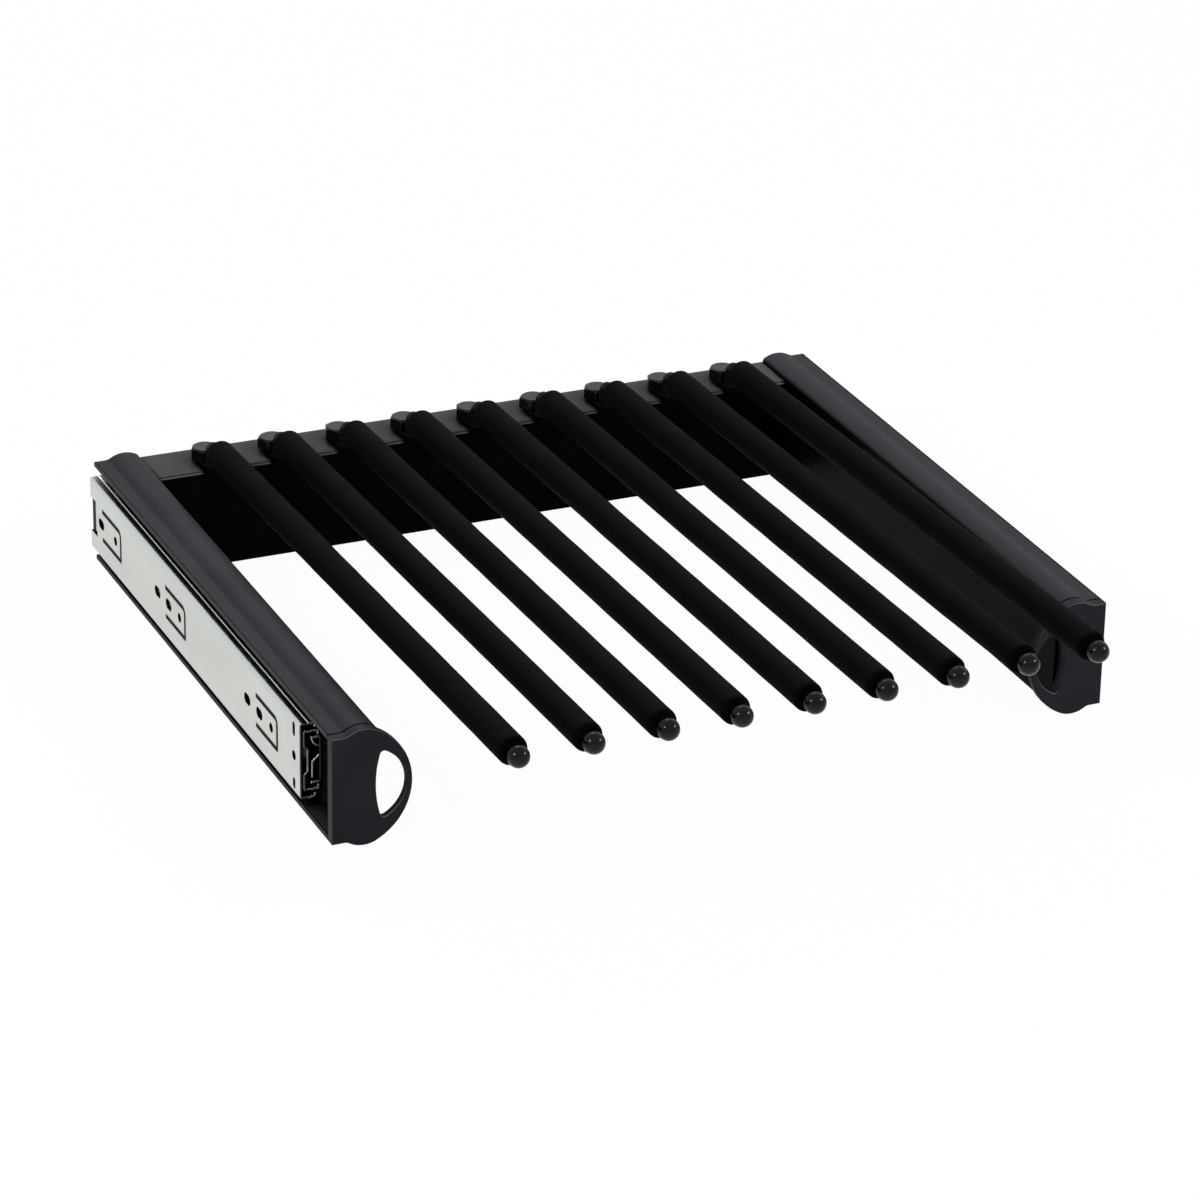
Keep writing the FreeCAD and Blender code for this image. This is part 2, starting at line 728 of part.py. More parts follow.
def make_outer_member(side):
    body = new_body(f"outer_member_{SIDE_NAMES[side]}")
    lengthwise_pad(body, body.Name + "_section", lambda sketch: draw_outer_member(sketch, side),
                   slide_front, size.slide_length)
    web = in_slide(side, size.steel / 2)
    depth = size.steel * 2
    for number, front in enumerate(tab_fronts, start=1):
        sideways_cut(body, f"{body.Name}_slit_{number}",
                     lambda sketch, front=front: draw_tab_slit(sketch, front), web, depth)
    sideways_cut(body, body.Name + "_holes", draw_mounting_holes, web, depth)
    sideways_cut(body, body.Name + "_front_slots", draw_front_slots, web, depth)
    sideways_cut(body, body.Name + "_notch", draw_rear_notch, web, depth)


def screw_places():
    """Distances of the slide screws from the front of the slide."""
    return [size.first_slide_screw + slide_screw_pitch * number
            for number in range(SLIDE_SCREW_COUNT)]


def draw_screw_row(sketch, diameter):
    for place in screw_places():
        circle(sketch, slide_front + place, slide_z, diameter)


def draw_rear_stop(sketch, side):
    """Moulded block on the web of the outer member, its face scalloped twice."""
    half = size.stop_height / 2
    near, far = size.steel, size.steel + size.stop_depth
    hollow = size.stop_scallop
    rib = half / 2
    corners = [
        (near, half),
        (far - hollow, half),
        (far, half - hollow),
        (far, rib),
        (far - hollow, rib - hollow),
        (far - hollow, hollow - rib),
        (far, -rib),
        (far, hollow - half),
        (far - hollow, -half),
        (near, -half),
    ]
    steps = [line_to(*corner) for corner in corners]
    section(sketch, side, corners[-1], steps, in_slide)


def make_rear_stop(side):
    body = new_body(f"rear_stop_{SIDE_NAMES[side]}")
    lengthwise_pad(body, body.Name + "_section", lambda sketch: draw_rear_stop(sketch, side),
                   slide_front + size.slide_length - size.stop_length, size.stop_length)


def make_middle_member(side):
    body = new_body(f"middle_member_{SIDE_NAMES[side]}")
    lengthwise_pad(body, body.Name + "_section", lambda sketch: draw_middle_member(sketch, side),
                   slide_front, middle_length)
    web = in_slide(side, middle_web + size.middle_step + size.steel / 2)
    sideways_cut(body, body.Name + "_access",
                 lambda sketch: draw_screw_row(sketch, size.access_hole), web, size.steel * 2)


def draw_catch(sketch, side):
    """Curved upper wing from flange to web, and a folded lower wing from the web."""
    sheet = size.catch_sheet
    web = inner_web + sheet / 4
    root_z = inner_low + sheet / 4
    centre = size.slide_thickness
    outer, inner = size.catch_radius, size.catch_radius - sheet
    run = centre - web
    start = (centre - outer, root_z)
    steps = [
        line_to(centre - inner, root_z),
        arc_to(web, root_z - hypotenuse_leg(inner, run), centre, root_z, 1),
        line_to(web, root_z - hypotenuse_leg(outer, run)),
        arc_to(*start, centre, root_z, -1),
    ]
    section(sketch, side, start, steps, in_slide)
    far = inner_web - size.catch_width
    top = size.catch_offset
    corners = [
        (web, top),
        (web, top - sheet),
        (far + sheet, sheet - top),
        (far + sheet, -size.catch_drop),
        (far, -size.catch_drop),
        (far, sheet * 2 - top),
    ]
    steps = [line_to(*corner) for corner in corners]
    section(sketch, side, corners[-1], steps, in_slide)


def make_inner_member(side):
    body = new_body(f"inner_member_{SIDE_NAMES[side]}")
    lengthwise_pad(body, body.Name + "_section", lambda sketch: draw_inner_member(sketch, side),
                   slide_front, size.slide_length)
    lengthwise_pad(body, body.Name + "_catch", lambda sketch: draw_catch(sketch, side),
                   slide_front + size.catch_setback, size.catch_length)
    web = in_slide(side, inner_web + size.steel / 2)
    shank_hole = size.screw_shank + size.thread_play * 2
    pin_hole = size.lever_pin + size.thread_play * 2
    sideways_cut(body, body.Name + "_screw_holes",
                 lambda sketch: draw_screw_row(sketch, shank_hole), web, size.steel * 2)
    sideways_cut(body, body.Name + "_pin_hole",
                 lambda sketch: circle(sketch, slide_front + size.lever_place, slide_z, pin_hole),
                 web, size.steel * 2)


def make_cage(name, side, web, row, ball, row_z):
    """A cage strip with a hole for each ball, above and below."""
    body = new_body(f"{name}_cage_{SIDE_NAMES[side]}")
    start = slide_front + (size.slide_length - size.cage_length) / 2
    lengthwise_pad(body, body.Name + "_section",
                   lambda sketch: draw_cage(sketch, side, web, row, ball, row_z),
                   start, size.cage_length)
    holes = new_sketch(body, body.Name + "_hole", "XY_Plane", slide_z)
    circle(holes, in_slide(side, row), start + size.cage_margin, ball + size.cage_play * 2)
    cut = pocket(body, holes, row_z * 2 + size.cage_sheet * 4)
    repeat(body, [cut], "Y_Axis", size.cage_length - size.cage_margin * 2, BALLS_PER_ROW)


def make_balls(name, side, row, ball, row_z):
    """The balls of both rows of one cage."""
    body = new_body(f"{name}_balls_{SIDE_NAMES[side]}")
    first = slide_front + (size.slide_length - size.cage_length) / 2 + size.cage_margin
    spheres = []
    for level, height in (("upper", row_z), ("lower", -row_z)):
        sphere = body.newObject("PartDesign::AdditiveSphere", f"{body.Name}_{level}")
        bind(sphere, "Radius", ball / 2)
        tie_place(sphere, in_slide(side, row), first, slide_z + height)
        spheres.append(sphere)
    document.recompute()
    repeat(body, spheres, "Y_Axis", size.cage_length - size.cage_margin * 2, BALLS_PER_ROW)


def make_headed_pin(name, side, shank, length, head, head_height):
    """A pin with a bevelled head, its shank pointing to the middle of the rack."""
    body = new_body(f"{name}_{SIDE_NAMES[side]}")
    sketch = new_sketch(body, body.Name + "_half", "XZ_Plane")
    inward = -side
    bevel = size.screw_bevel
    corners = [
        (-head_height, head / 2 - bevel),
        (bevel - head_height, head / 2),
        (0, head / 2),
        (0, shank / 2),
        (length - bevel, shank / 2),
        (length, shank / 2 - bevel),
        (length, 0),
        (-head_height, 0),
    ]
    steps = [line_to(along * inward, up) for along, up in corners]
    outline(sketch, (-head_height * inward, 0), steps)
    return body, revolve(body, sketch, "H_Axis")


def make_slide_screws(side):
    body, screw = make_headed_pin("slide_screws", side, size.screw_shank, size.screw_length,
                                  size.screw_head, size.screw_head_height)
    repeat(body, [screw], "Y_Axis", slide_screw_row,
           SLIDE_SCREW_COUNT)
    tie_place(body, in_slide(side, inner_web), slide_front + size.first_slide_screw, slide_z)


# ---------------------------------------------------------------- release lever

lever_back = inner_web - size.lever_gap
lever_front = lever_back - size.lever_sheet
lever_y = slide_front + size.lever_place


def draw_lever_arm(sketch):
    """Arm with a wider finger pad at the front and a hooked catch at the back."""
    half_arm, half_pad = size.lever_height / 2, size.lever_pad / 2
    half_catch = size.lever_catch / 2
    pad_front = lever_y - size.lever_length
    pad_rear = pad_front + size.lever_pad_length
    slope = half_pad - half_arm
    tail = lever_y + size.lever_tail
    corners = [
        (pad_front, slide_z + half_pad),
        (pad_rear, slide_z + half_pad),
        (pad_rear + slope, slide_z + half_arm),
        (tail - size.lever_height, slide_z + half_arm),
        (tail - size.lever_height, slide_z + half_catch),
        (tail, slide_z + half_arm),
        (tail, slide_z - half_arm),
        (pad_rear + slope, slide_z - half_arm),
        (pad_rear, slide_z - half_pad),
        (pad_front, slide_z - half_pad),
    ]
    outline(sketch, corners[-1], [line_to(*corner) for corner in corners])


def make_lever(side):
    body = new_body(f"release_lever_{SIDE_NAMES[side]}")
    start = in_slide(side, lever_back)
    arm = new_sketch(body, body.Name + "_arm", "YZ_Plane", start)
    draw_lever_arm(arm)
    pad(body, arm, size.lever_sheet, reverse=side == LEFT)
    boss = new_sketch(body, body.Name + "_boss", "YZ_Plane", start)
    circle(boss, lever_y, slide_z, size.lever_boss)
    pad(body, boss, size.lever_sheet, reverse=side == LEFT)
    bore = size.lever_pin + size.lever_pin_play * 2
    sideways_cut(body, body.Name + "_bore", lambda sketch: circle(sketch, lever_y, slide_z, bore),
                 start, size.lever_sheet * 3)


def make_lever_pin(side):
    head_height = size.screw_bevel * 2
    length = size.slide_thickness - lever_front + size.lever_gap / 2
    body, _ = make_headed_pin("lever_pin", side, size.lever_pin, length,
                              size.lever_boss - size.screw_bevel, head_height)
    tie_place(body, in_slide(side, size.slide_thickness - length), lever_y, slide_z)


# ---------------------------------------------------------------- casings and end caps

edge_z = size.casing_edge_height / 2
valley_rise = edge_z - crest_centre_z
valley_run = crest_centre_u - size.casing_flat
valley_radius = ((valley_run * valley_run + valley_rise * valley_rise
                  - size.crest_radius * size.crest_radius)
                 / ((size.crest_radius - valley_rise) * 2))
valley_share = size.crest_radius / (valley_radius + size.crest_radius)
loop_join = (size.loop_centre + size.loop_radius * sine(size.crest_angle),
             size.loop_radius * cosine(size.crest_angle))


def crown_steps():
    """From the open edge over the flat, the hollow and the crest to the loop radius."""
    valley_end = (crest_centre_u - valley_run * valley_share,
                  crest_centre_z + (valley_rise + valley_radius) * valley_share)
    return [
        line_to(size.casing_flat, edge_z),
        arc_to(*valley_end, size.casing_flat, edge_z + valley_radius, 1),
        arc_to(*loop_join, crest_centre_u, crest_centre_z, -1),
    ]


def casing_steps():
    """The crown, then the loop radius and the corner down to the inner wall."""
    corner = size.casing_corner
    corner_u = size.casing_width - corner
    run = corner_u - size.loop_centre
    reduced = size.loop_radius - corner
    corner_z = root(reduced * reduced - run * run)
    grow = size.loop_radius / reduced
    return crown_steps() + [
        arc_to(size.loop_centre + run * grow, corner_z * grow, size.loop_centre, 0, -1),
        arc_to(size.casing_width, corner_z, corner_u, corner_z, -1),
    ]


def draw_casing(sketch, side):
    """Outer skin with the open channel for the slide, and the closed chamber."""
    start = (0, edge_z)
    steps = casing_steps()
    channel_z = edge_z - size.casing_lip
    channel = [line_to(0, -channel_z), line_to(web_u, -channel_z), line_to(web_u, channel_z),
               line_to(0, channel_z), line_to(*start)]
    section(sketch, side, start, mirrored(start, steps) + channel)

    wall = size.casing_wall
    near, far = web_u + wall, size.casing_width - wall
    inner_crest = size.crest_radius - wall
    inner_loop = size.loop_radius - wall
    near_z = crest_centre_z + hypotenuse_leg(inner_crest, crest_centre_u - near)
    far_z = hypotenuse_leg(inner_loop, far - size.loop_centre)
    start = (near, near_z)
    steps = [
        arc_to(size.loop_centre + inner_loop * sine(size.crest_angle),
               inner_loop * cosine(size.crest_angle), crest_centre_u, crest_centre_z, -1),
        arc_to(far, far_z, size.loop_centre, 0, -1),
    ]
    section(sketch, side, start, mirrored(start, steps) + [line_to(*start)])


def draw_rail_screw_holes(sketch, diameter):
    for rise in (size.rail_screw_offset, -size.rail_screw_offset):
        circle(sketch, rail_middle_y, slide_z + rise, diameter)


def make_casing(side):
    body = new_body(f"casing_{SIDE_NAMES[side]}")
    lengthwise_pad(body, body.Name + "_section", lambda sketch: draw_casing(sketch, side),
                   casing_front, casing_length)
    shank_hole = size.screw_shank + size.thread_play * 2
    web = across(side, web_u + size.casing_wall / 2)
    inner_wall = across(side, size.casing_width - size.casing_wall / 2)
    depth = size.casing_wall * 2
    sideways_cut(body, body.Name + "_slide_screw_holes",
                 lambda sketch: draw_screw_row(sketch, shank_hole), web, depth)
    sideways_cut(body, body.Name + "_access",
                 lambda sketch: draw_rail_screw_holes(sketch, size.access_hole), web, depth)
    sideways_cut(body, body.Name + "_rail_screw_holes",
                 lambda sketch: draw_rail_screw_holes(sketch, shank_hole), inner_wall, depth)


def draw_cap_face(sketch, side):
    """The casing's outline carried round the finger loop."""
    start = (0, edge_z)
    steps = crown_steps()
    bridge = arc_to(loop_join[0], -loop_join[1], size.loop_centre, 0, -1)
    section(sketch, side, start, mirrored(start, steps, bridge) + [line_to(*start)])


def draw_cap_rim(sketch, side):
    """The casing's outline, filled."""
    start = (0, edge_z)
    section(sketch, side, start, mirrored(start, casing_steps()) + [line_to(*start)])


def draw_finger_hole(sketch, side):
    """A lens of two arcs with rounded ends."""
    back_centre = size.grip_back_place + size.grip_back_radius
    apart = back_centre - size.grip_centre
    near = size.grip_radius - size.grip_corner
    far = size.grip_back_radius - size.grip_corner
    run = (near * near - far * far + apart * apart) / (apart * 2)
    corner = (size.grip_centre + run, hypotenuse_leg(near, run))
    grow = size.grip_radius / near
    back_grow = size.grip_back_radius / far
    start = (back_centre - (apart - run) * back_grow, corner[1] * back_grow)
    outer = (size.grip_centre + run * grow, corner[1] * grow)
    steps = [arc_to(*outer, *corner, -1)]
    bridge = arc_to(outer[0], -outer[1], size.grip_centre, 0, -1)
    closing = arc_to(*start, back_centre, 0, -1)
    section(sketch, side, start, mirrored(start, steps, bridge) + [closing])


def draw_spigot(sketch, side):
    """A rectangular tube that plugs into the chamber of the casing."""
    near = web_u + size.casing_wall + size.spigot_play
    far = size.spigot_place
    half = size.spigot_height / 2
    wall = size.spigot_wall
    for inset in (0, wall):
        left, right, top = near + inset, far - inset, half - inset
        corners = [(right, top), (right, -top), (left, -top), (left, top)]
        section(sketch, side, (left, top), [line_to(*corner) for corner in corners])


def edges_at(shape, test):
    """Names of the edges of a shape whose every sample point passes a test."""
    names = []
    for number, edge in enumerate(shape.Edges, start=1):
        if all(test(point) for point in edge.discretize(5)):
            names.append(f"Edge{number}")
    return names


def in_plane(place):
    """A test for points at a place along Y."""
    tolerance = 1e-4
    return lambda point: abs(point.y - place.number) < tolerance


def round_edges(body, base, name, test, radius):
    """Fillet the edges that pass a test."""
    feature = body.newObject("PartDesign::Fillet", body.Name + name)
    feature.Base = (base, edges_at(base.Shape, test))
    bind(feature, "Radius", radius)
    document.recompute()


def round_grip(side, body, cut, front, back):
    """Round the rims of the finger hole on the front and the back of the plate."""
    centre_x = across(side, size.grip_centre).number
    reach = size.grip_radius.number * 1.001

    def on_rim(point):
        beside = math.hypot(point.x - centre_x, point.z - slide_z.number) < reach
        return beside and (front(point) or back(point))

    round_edges(body, cut, "_grip_rounding", on_rim, size.grip_edge_round)


def make_cap_rim(side, body, rim_front):
    """The rim with its bevelled end, open where the finger hole reaches over it."""
    rim = lengthwise_pad(body, body.Name + "_rim", lambda sketch: draw_cap_rim(sketch, side),
                         rim_front, size.cap_rim)
    document.recompute()
    seam = body.newObject("PartDesign::Chamfer", body.Name + "_seam")
    seam.Base = (rim, edges_at(rim.Shape, in_plane(casing_front)))
    bind(seam, "Size", size.cap_seam)
    relief = new_sketch(body, body.Name + "_grip_relief", "XZ_Plane", -casing_front)
    draw_finger_hole(relief, side)
    pocket(body, relief, size.cap_rim * 2)
    document.recompute()


def make_end_cap(side):
    body = new_body(f"end_cap_{SIDE_NAMES[side]}")
    rim_front = face_y + size.cap_thickness
    front, back = in_plane(face_y), in_plane(rim_front)
    plate = lengthwise_pad(body, body.Name + "_face",
                           lambda sketch: draw_cap_face(sketch, side),
                           face_y, size.cap_thickness)
    document.recompute()
    round_edges(body, plate, "_rounding", front, size.cap_edge_round)
    hole = new_sketch(body, body.Name + "_grip", "XZ_Plane", -face_y)
    draw_finger_hole(hole, side)
    cut = pocket(body, hole, size.cap_thickness * 3)
    document.recompute()
    round_grip(side, body, cut, front, back)
    make_cap_rim(side, body, rim_front)
    lengthwise_pad(body, body.Name + "_spigot", lambda sketch: draw_spigot(sketch, side),
                   casing_front, size.spigot_length)


# ---------------------------------------------------------------- rail

rail_front_y = rail_middle_y - size.rail_depth / 2
rail_back_y = rail_middle_y + size.rail_depth / 2
rail_low_z = rail_top_z - size.rail_height


def draw_rail(sketch):
    """Box section with a chamfer along its top front edge."""
    chamfer = size.rail_chamfer
    wall = size.rail_wall
    steps = [
        line_to(rail_back_y, rail_low_z),
        line_to(rail_back_y, rail_top_z),
        line_to(rail_front_y + chamfer, rail_top_z),
        line_to(rail_front_y, rail_top_z - chamfer),
        line_to(rail_front_y, rail_low_z),
    ]
    outline(sketch, (rail_front_y, rail_low_z), steps)
    rectangle(sketch, rail_front_y + wall, rail_low_z + wall,
              rail_back_y - wall, rail_top_z - wall)


def make_rail():
    body = new_body("back_rail")
    profile = new_sketch(body, "back_rail_section", "YZ_Plane", -rail_end)
    draw_rail(profile)
    pad(body, profile, rail_end * 2)
    hole = new_sketch(body, "back_rail_bolt_hole", "XY_Plane", rail_top_z - size.rail_wall / 2)
    circle(hole, first_rod, rail_middle_y, size.bolt_shank + size.bolt_play * 2)
    cut = pocket(body, hole, size.rail_wall * 2)
    repeat(body, [cut], "X_Axis", rod_row, ROD_COUNT)


def make_rail_plug(side):
    """Moulded plug that takes the rail screws, hollow between them."""
    body = new_body(f"rail_plug_{SIDE_NAMES[side]}")
    inset = size.rail_wall + size.plug_play
    block = new_sketch(body, body.Name + "_block", "YZ_Plane", rail_end * side)
    rectangle(block, rail_front_y + inset, rail_low_z + inset,
              rail_back_y - inset, rail_top_z - inset)
    pad(body, block, size.plug_length, reverse=side == RIGHT)
    wall = size.rail_wall
    inner_end = (rail_end - size.plug_length) * side
    sideways_cut(body, body.Name + "_relief",
                 lambda sketch: rectangle(sketch, rail_front_y + inset + wall,
                                          slide_z - size.plug_relief,
                                          rail_back_y - inset - wall,
                                          slide_z + size.plug_relief),
                 inner_end, (size.plug_length - wall) * 2)
    bore = size.screw_shank + size.thread_play * 2
    sideways_cut(body, body.Name + "_bores",
                 lambda sketch: draw_rail_screw_holes(sketch, bore),
                 rail_end * side, size.plug_length * 2)


def make_rail_screws(side):
    body, screw = make_headed_pin("rail_screws", side, size.screw_shank, size.screw_length,
                                  size.screw_head, size.screw_head_height)
    repeat(body, [screw], "Z_Axis", size.rail_screw_offset * 2, 2)
    tie_place(body, across(side, size.casing_width - size.casing_wall), rail_middle_y,
              slide_z - size.rail_screw_offset)


# ---------------------------------------------------------------- rods

bend_end_y = size.rod_bend * (sine(size.rod_tilt) - 1) - size.rod_lead
bend_start_z = size.rod_height - size.rod_bend * cosine(size.rod_tilt)
slope = sine(size.rod_tilt) / cosine(size.rod_tilt)
sleeve_rear_z = size.rod_height + (size.sleeve_start + bend_end_y) * slope
tip_radius = size.tip_diameter / 2
bore_radius = size.rod_diameter / 2 + size.tip_play
bore_mouth = root(tip_radius * tip_radius - bore_radius * bore_radius)
rod_straight = ((size.sleeve_start + bend_end_y) / cosine(size.rod_tilt)
                + size.sleeve_length + size.tip_place - bore_mouth + size.tip_grip)


def rod_x(number):
    return first_rod + rod_pitch * number


def draw_foot(sketch):
    """Flat foot: a small round toe under the leg and a wider eye round the bolt."""
    toe = size.foot_toe / 2
    eye = size.foot_width / 2
    steps = [
        line_to(eye, 0),
        arc_to(-eye, 0, 0, 0, 1),
        line_to(-toe, -size.rod_lead),
        arc_to(toe, -size.rod_lead, 0, -size.rod_lead, 1),
    ]
    outline(sketch, (toe, -size.rod_lead), steps)
    circle(sketch, 0, 0, size.bolt_shank + size.bolt_play * 2)


def make_rod(number):
    """Round rod: a flat foot on the rail, a short leg, one bend, a long straight run."""
    body = new_body(f"rod_{number + 1}")
    foot = new_sketch(body, body.Name + "_foot", "XY_Plane")
    draw_foot(foot)
    pad(body, foot, size.foot_thickness)
    path = new_sketch(body, body.Name + "_path", "YZ_Plane")
    corners = [(-size.rod_lead, 0), (-size.rod_lead, bend_start_z), (bend_end_y, size.rod_height),
               (bend_end_y - rod_straight * cosine(size.rod_tilt),
                size.rod_height + rod_straight * sine(size.rod_tilt))]
    steps = [line_to(*corners[1]),
             arc_to(*corners[2], -size.rod_lead - size.rod_bend, bend_start_z, 1),
             line_to(*corners[3])]
    open_path(path, corners[0], steps)
    ring = new_sketch(body, body.Name + "_round", "XY_Plane")
    circle(ring, 0, -size.rod_lead, size.rod_diameter)
    document.recompute()
    pipe = body.newObject("PartDesign::AdditivePipe", body.Name + "_pipe")
    pipe.Profile = ring
    pipe.Spine = (path, ["Edge1", "Edge2", "Edge3"])
    path.Visibility = False
    tie_place(body, rod_x(number), rail_middle_y, rail_top_z)


def lean_forward(body, x, along):
    """Lay a piece drawn along -Y on the axis of a rod, at a distance from the sleeve's rear."""
    body.Placement = FreeCAD.Placement(
        FreeCAD.Vector(0, 0, 0), FreeCAD.Rotation(FreeCAD.Vector(-1, 0, 0), size.rod_tilt.number))
    bind(body, "Placement.Rotation.Angle", size.rod_tilt)
    tie_place(body, x, rail_middle_y - size.sleeve_start - along * cosine(size.rod_tilt),
              rail_top_z + sleeve_rear_z + along * sine(size.rod_tilt))


def make_sleeve(number):
    """Foam tube with softly rounded ends."""
    body = new_body(f"sleeve_{number + 1}")
    sketch = new_sketch(body, body.Name + "_half", "YZ_Plane")
    bore = size.rod_diameter / 2 + size.sleeve_play
    skin = size.sleeve_diameter / 2
    soft = size.sleeve_round
    front = -size.sleeve_length
    steps = [
        line_to(0, skin - soft),
        arc_to(-soft, skin, -soft, skin - soft, 1),
        line_to(front + soft, skin),
        arc_to(front, skin - soft, front + soft, skin - soft, 1),
        line_to(front, bore),
        line_to(0, bore),
    ]
    outline(sketch, (0, bore), steps)
    revolve(body, sketch, "H_Axis")
    lean_forward(body, rod_x(number), as_size(0))


def make_tip(number):
    """Ball with a blind bore that is pushed over the end of the rod."""
    body = new_body(f"tip_{number + 1}")
    sketch = new_sketch(body, body.Name + "_half", "YZ_Plane")
    bore_end = bore_mouth - size.tip_grip - size.tip_play
    steps = [
        arc_to(bore_mouth, bore_radius, 0, 0, -1),
        line_to(bore_end, bore_radius),
        line_to(bore_end, 0),
        line_to(-tip_radius, 0),
    ]
    outline(sketch, (-tip_radius, 0), steps)
    revolve(body, sketch, "H_Axis")
    lean_forward(body, rod_x(number), size.sleeve_length + size.tip_place)


def bevel_head(body, name, place):
    """Turn a slope round the top of a bolt head, which takes off its six corners."""
    sketch = new_sketch(body, name, "XZ_Plane")
    bind(sketch, "AttachmentOffset.Base.x", place)
    outside = size.bolt_flats
    slope_run = outside - size.bolt_crown / 2
    slope_drop = slope_run * sine(size.bolt_bevel) / cosine(size.bolt_bevel)
    top = size.foot_thickness + size.bolt_head
    steps = [
        line_to(outside, top - slope_drop),
        line_to(outside, top),
        line_to(size.bolt_crown / 2, top),
    ]
    outline(sketch, (size.bolt_crown / 2, top), steps)
    groove_cut = body.newObject("PartDesign::Groove", name + "_cut")
    groove_cut.Profile = sketch
    groove_cut.ReferenceAxis = (sketch, ["V_Axis"])
    groove_cut.Angle = 360
    sketch.Visibility = False


def make_bolts():
    """Hexagon bolts that hold the feet of the rods on the rail."""
    body = new_body("rod_bolts")
    shank_length = size.foot_thickness + size.rail_wall + size.nut_height + size.bolt_end
    for number, turn in enumerate(BOLT_TURNS):
        name = f"rod_bolt_{number + 1}"
        place = rod_pitch * number
        head = new_sketch(body, name + "_head", "XY_Plane", size.foot_thickness)
        hexagon(head, place, size.bolt_flats, turn)
        pad(body, head, size.bolt_head)
        shank = new_sketch(body, name + "_shank", "XY_Plane", size.foot_thickness)
        circle(shank, place, 0, size.bolt_shank)
        pad(body, shank, shank_length, reverse=True)
        bevel_head(body, name + "_bevel", place)
    tie_place(body, first_rod, rail_middle_y, rail_top_z)


def make_nuts():
    """Hexagon nuts on the bolts, under the top wall of the rail."""
    body = new_body("rod_nuts")
    sketch = new_sketch(body, "rod_nuts_hexagon", "XY_Plane")
    hexagon(sketch, as_size(0), size.nut_flats, 0.0)
    circle(sketch, 0, 0, size.bolt_shank + size.thread_play * 2)
    nut = pad(body, sketch, size.nut_height)
    repeat(body, [nut], "X_Axis", rod_row, ROD_COUNT)
    tie_place(body, first_rod, rail_middle_y,
              rail_top_z - size.rail_wall - size.nut_height)


# ---------------------------------------------------------------- build, check and write

for side in (LEFT, RIGHT):
    make_outer_member(side)
    make_rear_stop(side)
    make_middle_member(side)
    make_inner_member(side)
    for name, web, row, ball, row_z in (
            ("outer", size.outer_cage_web, size.outer_ball_place, size.outer_ball, outer_row_z),
            ("inner", size.inner_cage_web, size.inner_ball_place, size.inner_ball, inner_row_z)):
        make_cage(name, side, web, row, ball, row_z)
        make_balls(name, side, row, ball, row_z)
    make_slide_screws(side)
    make_lever(side)
    make_lever_pin(side)
    make_casing(side)
    make_end_cap(side)
    make_rail_plug(side)
    make_rail_screws(side)
make_rail()
make_bolts()
make_nuts()
for rod_number in range(ROD_COUNT):
    make_rod(rod_number)
    make_sleeve(rod_number)
    make_tip(rod_number)
document.recompute()


def check_document():
    """Stop if a feature failed, a sub-part is not sound, or a cut removed nothing."""
    for item in document.Objects:
        if {"Invalid", "Error"} & set(item.State):
            raise RuntimeError(f"{item.Label} failed: {item.State}")
        if item.isDerivedFrom("PartDesign::Pocket"):
            if item.Shape.Volume >= item.BaseFeature.Shape.Volume:
                raise RuntimeError(f"{item.Label} cuts nothing")
    for part in sub_parts:
        if part.Shape.isNull() or not part.Shape.isValid():
            raise RuntimeError(f"{part.Label} has no sound shape")


check_document()
os.makedirs("parts", exist_ok=True)
for part in sub_parts:
    part.Shape.exportStep(f"parts/{part.Label}.step")
print(len(sub_parts), "sub-parts written")
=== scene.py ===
# %% [markdown]
# # A pull-out trouser rack, dressed for its picture
# The rack runs on two ball-bearing slides inside a wardrobe. Trousers hang over nine
# rods in foam sleeves. The CAD model already holds every solid and every joint, so this
# lesson adds what a CAD file can't: foam that is a little uneven, balls that came out
# of a mould, and the finish of each surface.
#
# Lengths are in metres. +X points right, +Y to the back of the wardrobe and +Z up.

# %% Load the frame
import json
import math

import bpy
import numpy as np
from mathutils import Matrix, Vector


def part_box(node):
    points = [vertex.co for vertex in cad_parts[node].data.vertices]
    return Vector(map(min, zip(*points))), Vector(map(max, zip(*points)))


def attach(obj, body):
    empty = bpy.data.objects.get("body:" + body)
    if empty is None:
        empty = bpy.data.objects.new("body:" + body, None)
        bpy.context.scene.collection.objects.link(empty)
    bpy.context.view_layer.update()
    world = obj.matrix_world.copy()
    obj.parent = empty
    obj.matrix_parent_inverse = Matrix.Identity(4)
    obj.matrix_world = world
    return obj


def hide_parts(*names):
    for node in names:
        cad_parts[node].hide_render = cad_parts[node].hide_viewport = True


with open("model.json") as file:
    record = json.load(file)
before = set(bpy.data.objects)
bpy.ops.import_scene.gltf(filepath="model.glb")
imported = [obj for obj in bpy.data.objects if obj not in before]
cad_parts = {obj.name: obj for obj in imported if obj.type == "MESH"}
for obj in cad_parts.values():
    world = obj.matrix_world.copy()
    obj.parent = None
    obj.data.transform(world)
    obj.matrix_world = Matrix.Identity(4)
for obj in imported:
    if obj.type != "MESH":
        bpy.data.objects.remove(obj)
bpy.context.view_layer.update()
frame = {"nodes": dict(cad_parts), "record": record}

nodes = frame["nodes"]
print("nodes loaded:", len(nodes))

# %% [markdown]
# ## The floor
# The rack stands on a plain white sheet. One big square would do, and it is enough
# here, because the sheet has no corner or curve in view. Seen by the camera, in
# polished metal or through glass, the sheet is white. A share of plain diffuse white
# is mixed in, so that the soft shadow under the rack stays.

# %% Floor sheet
FLOOR_REACH = 6.0
FLOOR_SQUARES = 8
FLOOR_COLOUR = (0.88, 0.88, 0.88, 1.0)
PURE_WHITE = (1.0, 1.0, 1.0, 1.0)
SHADOW_SHARE = 0.03


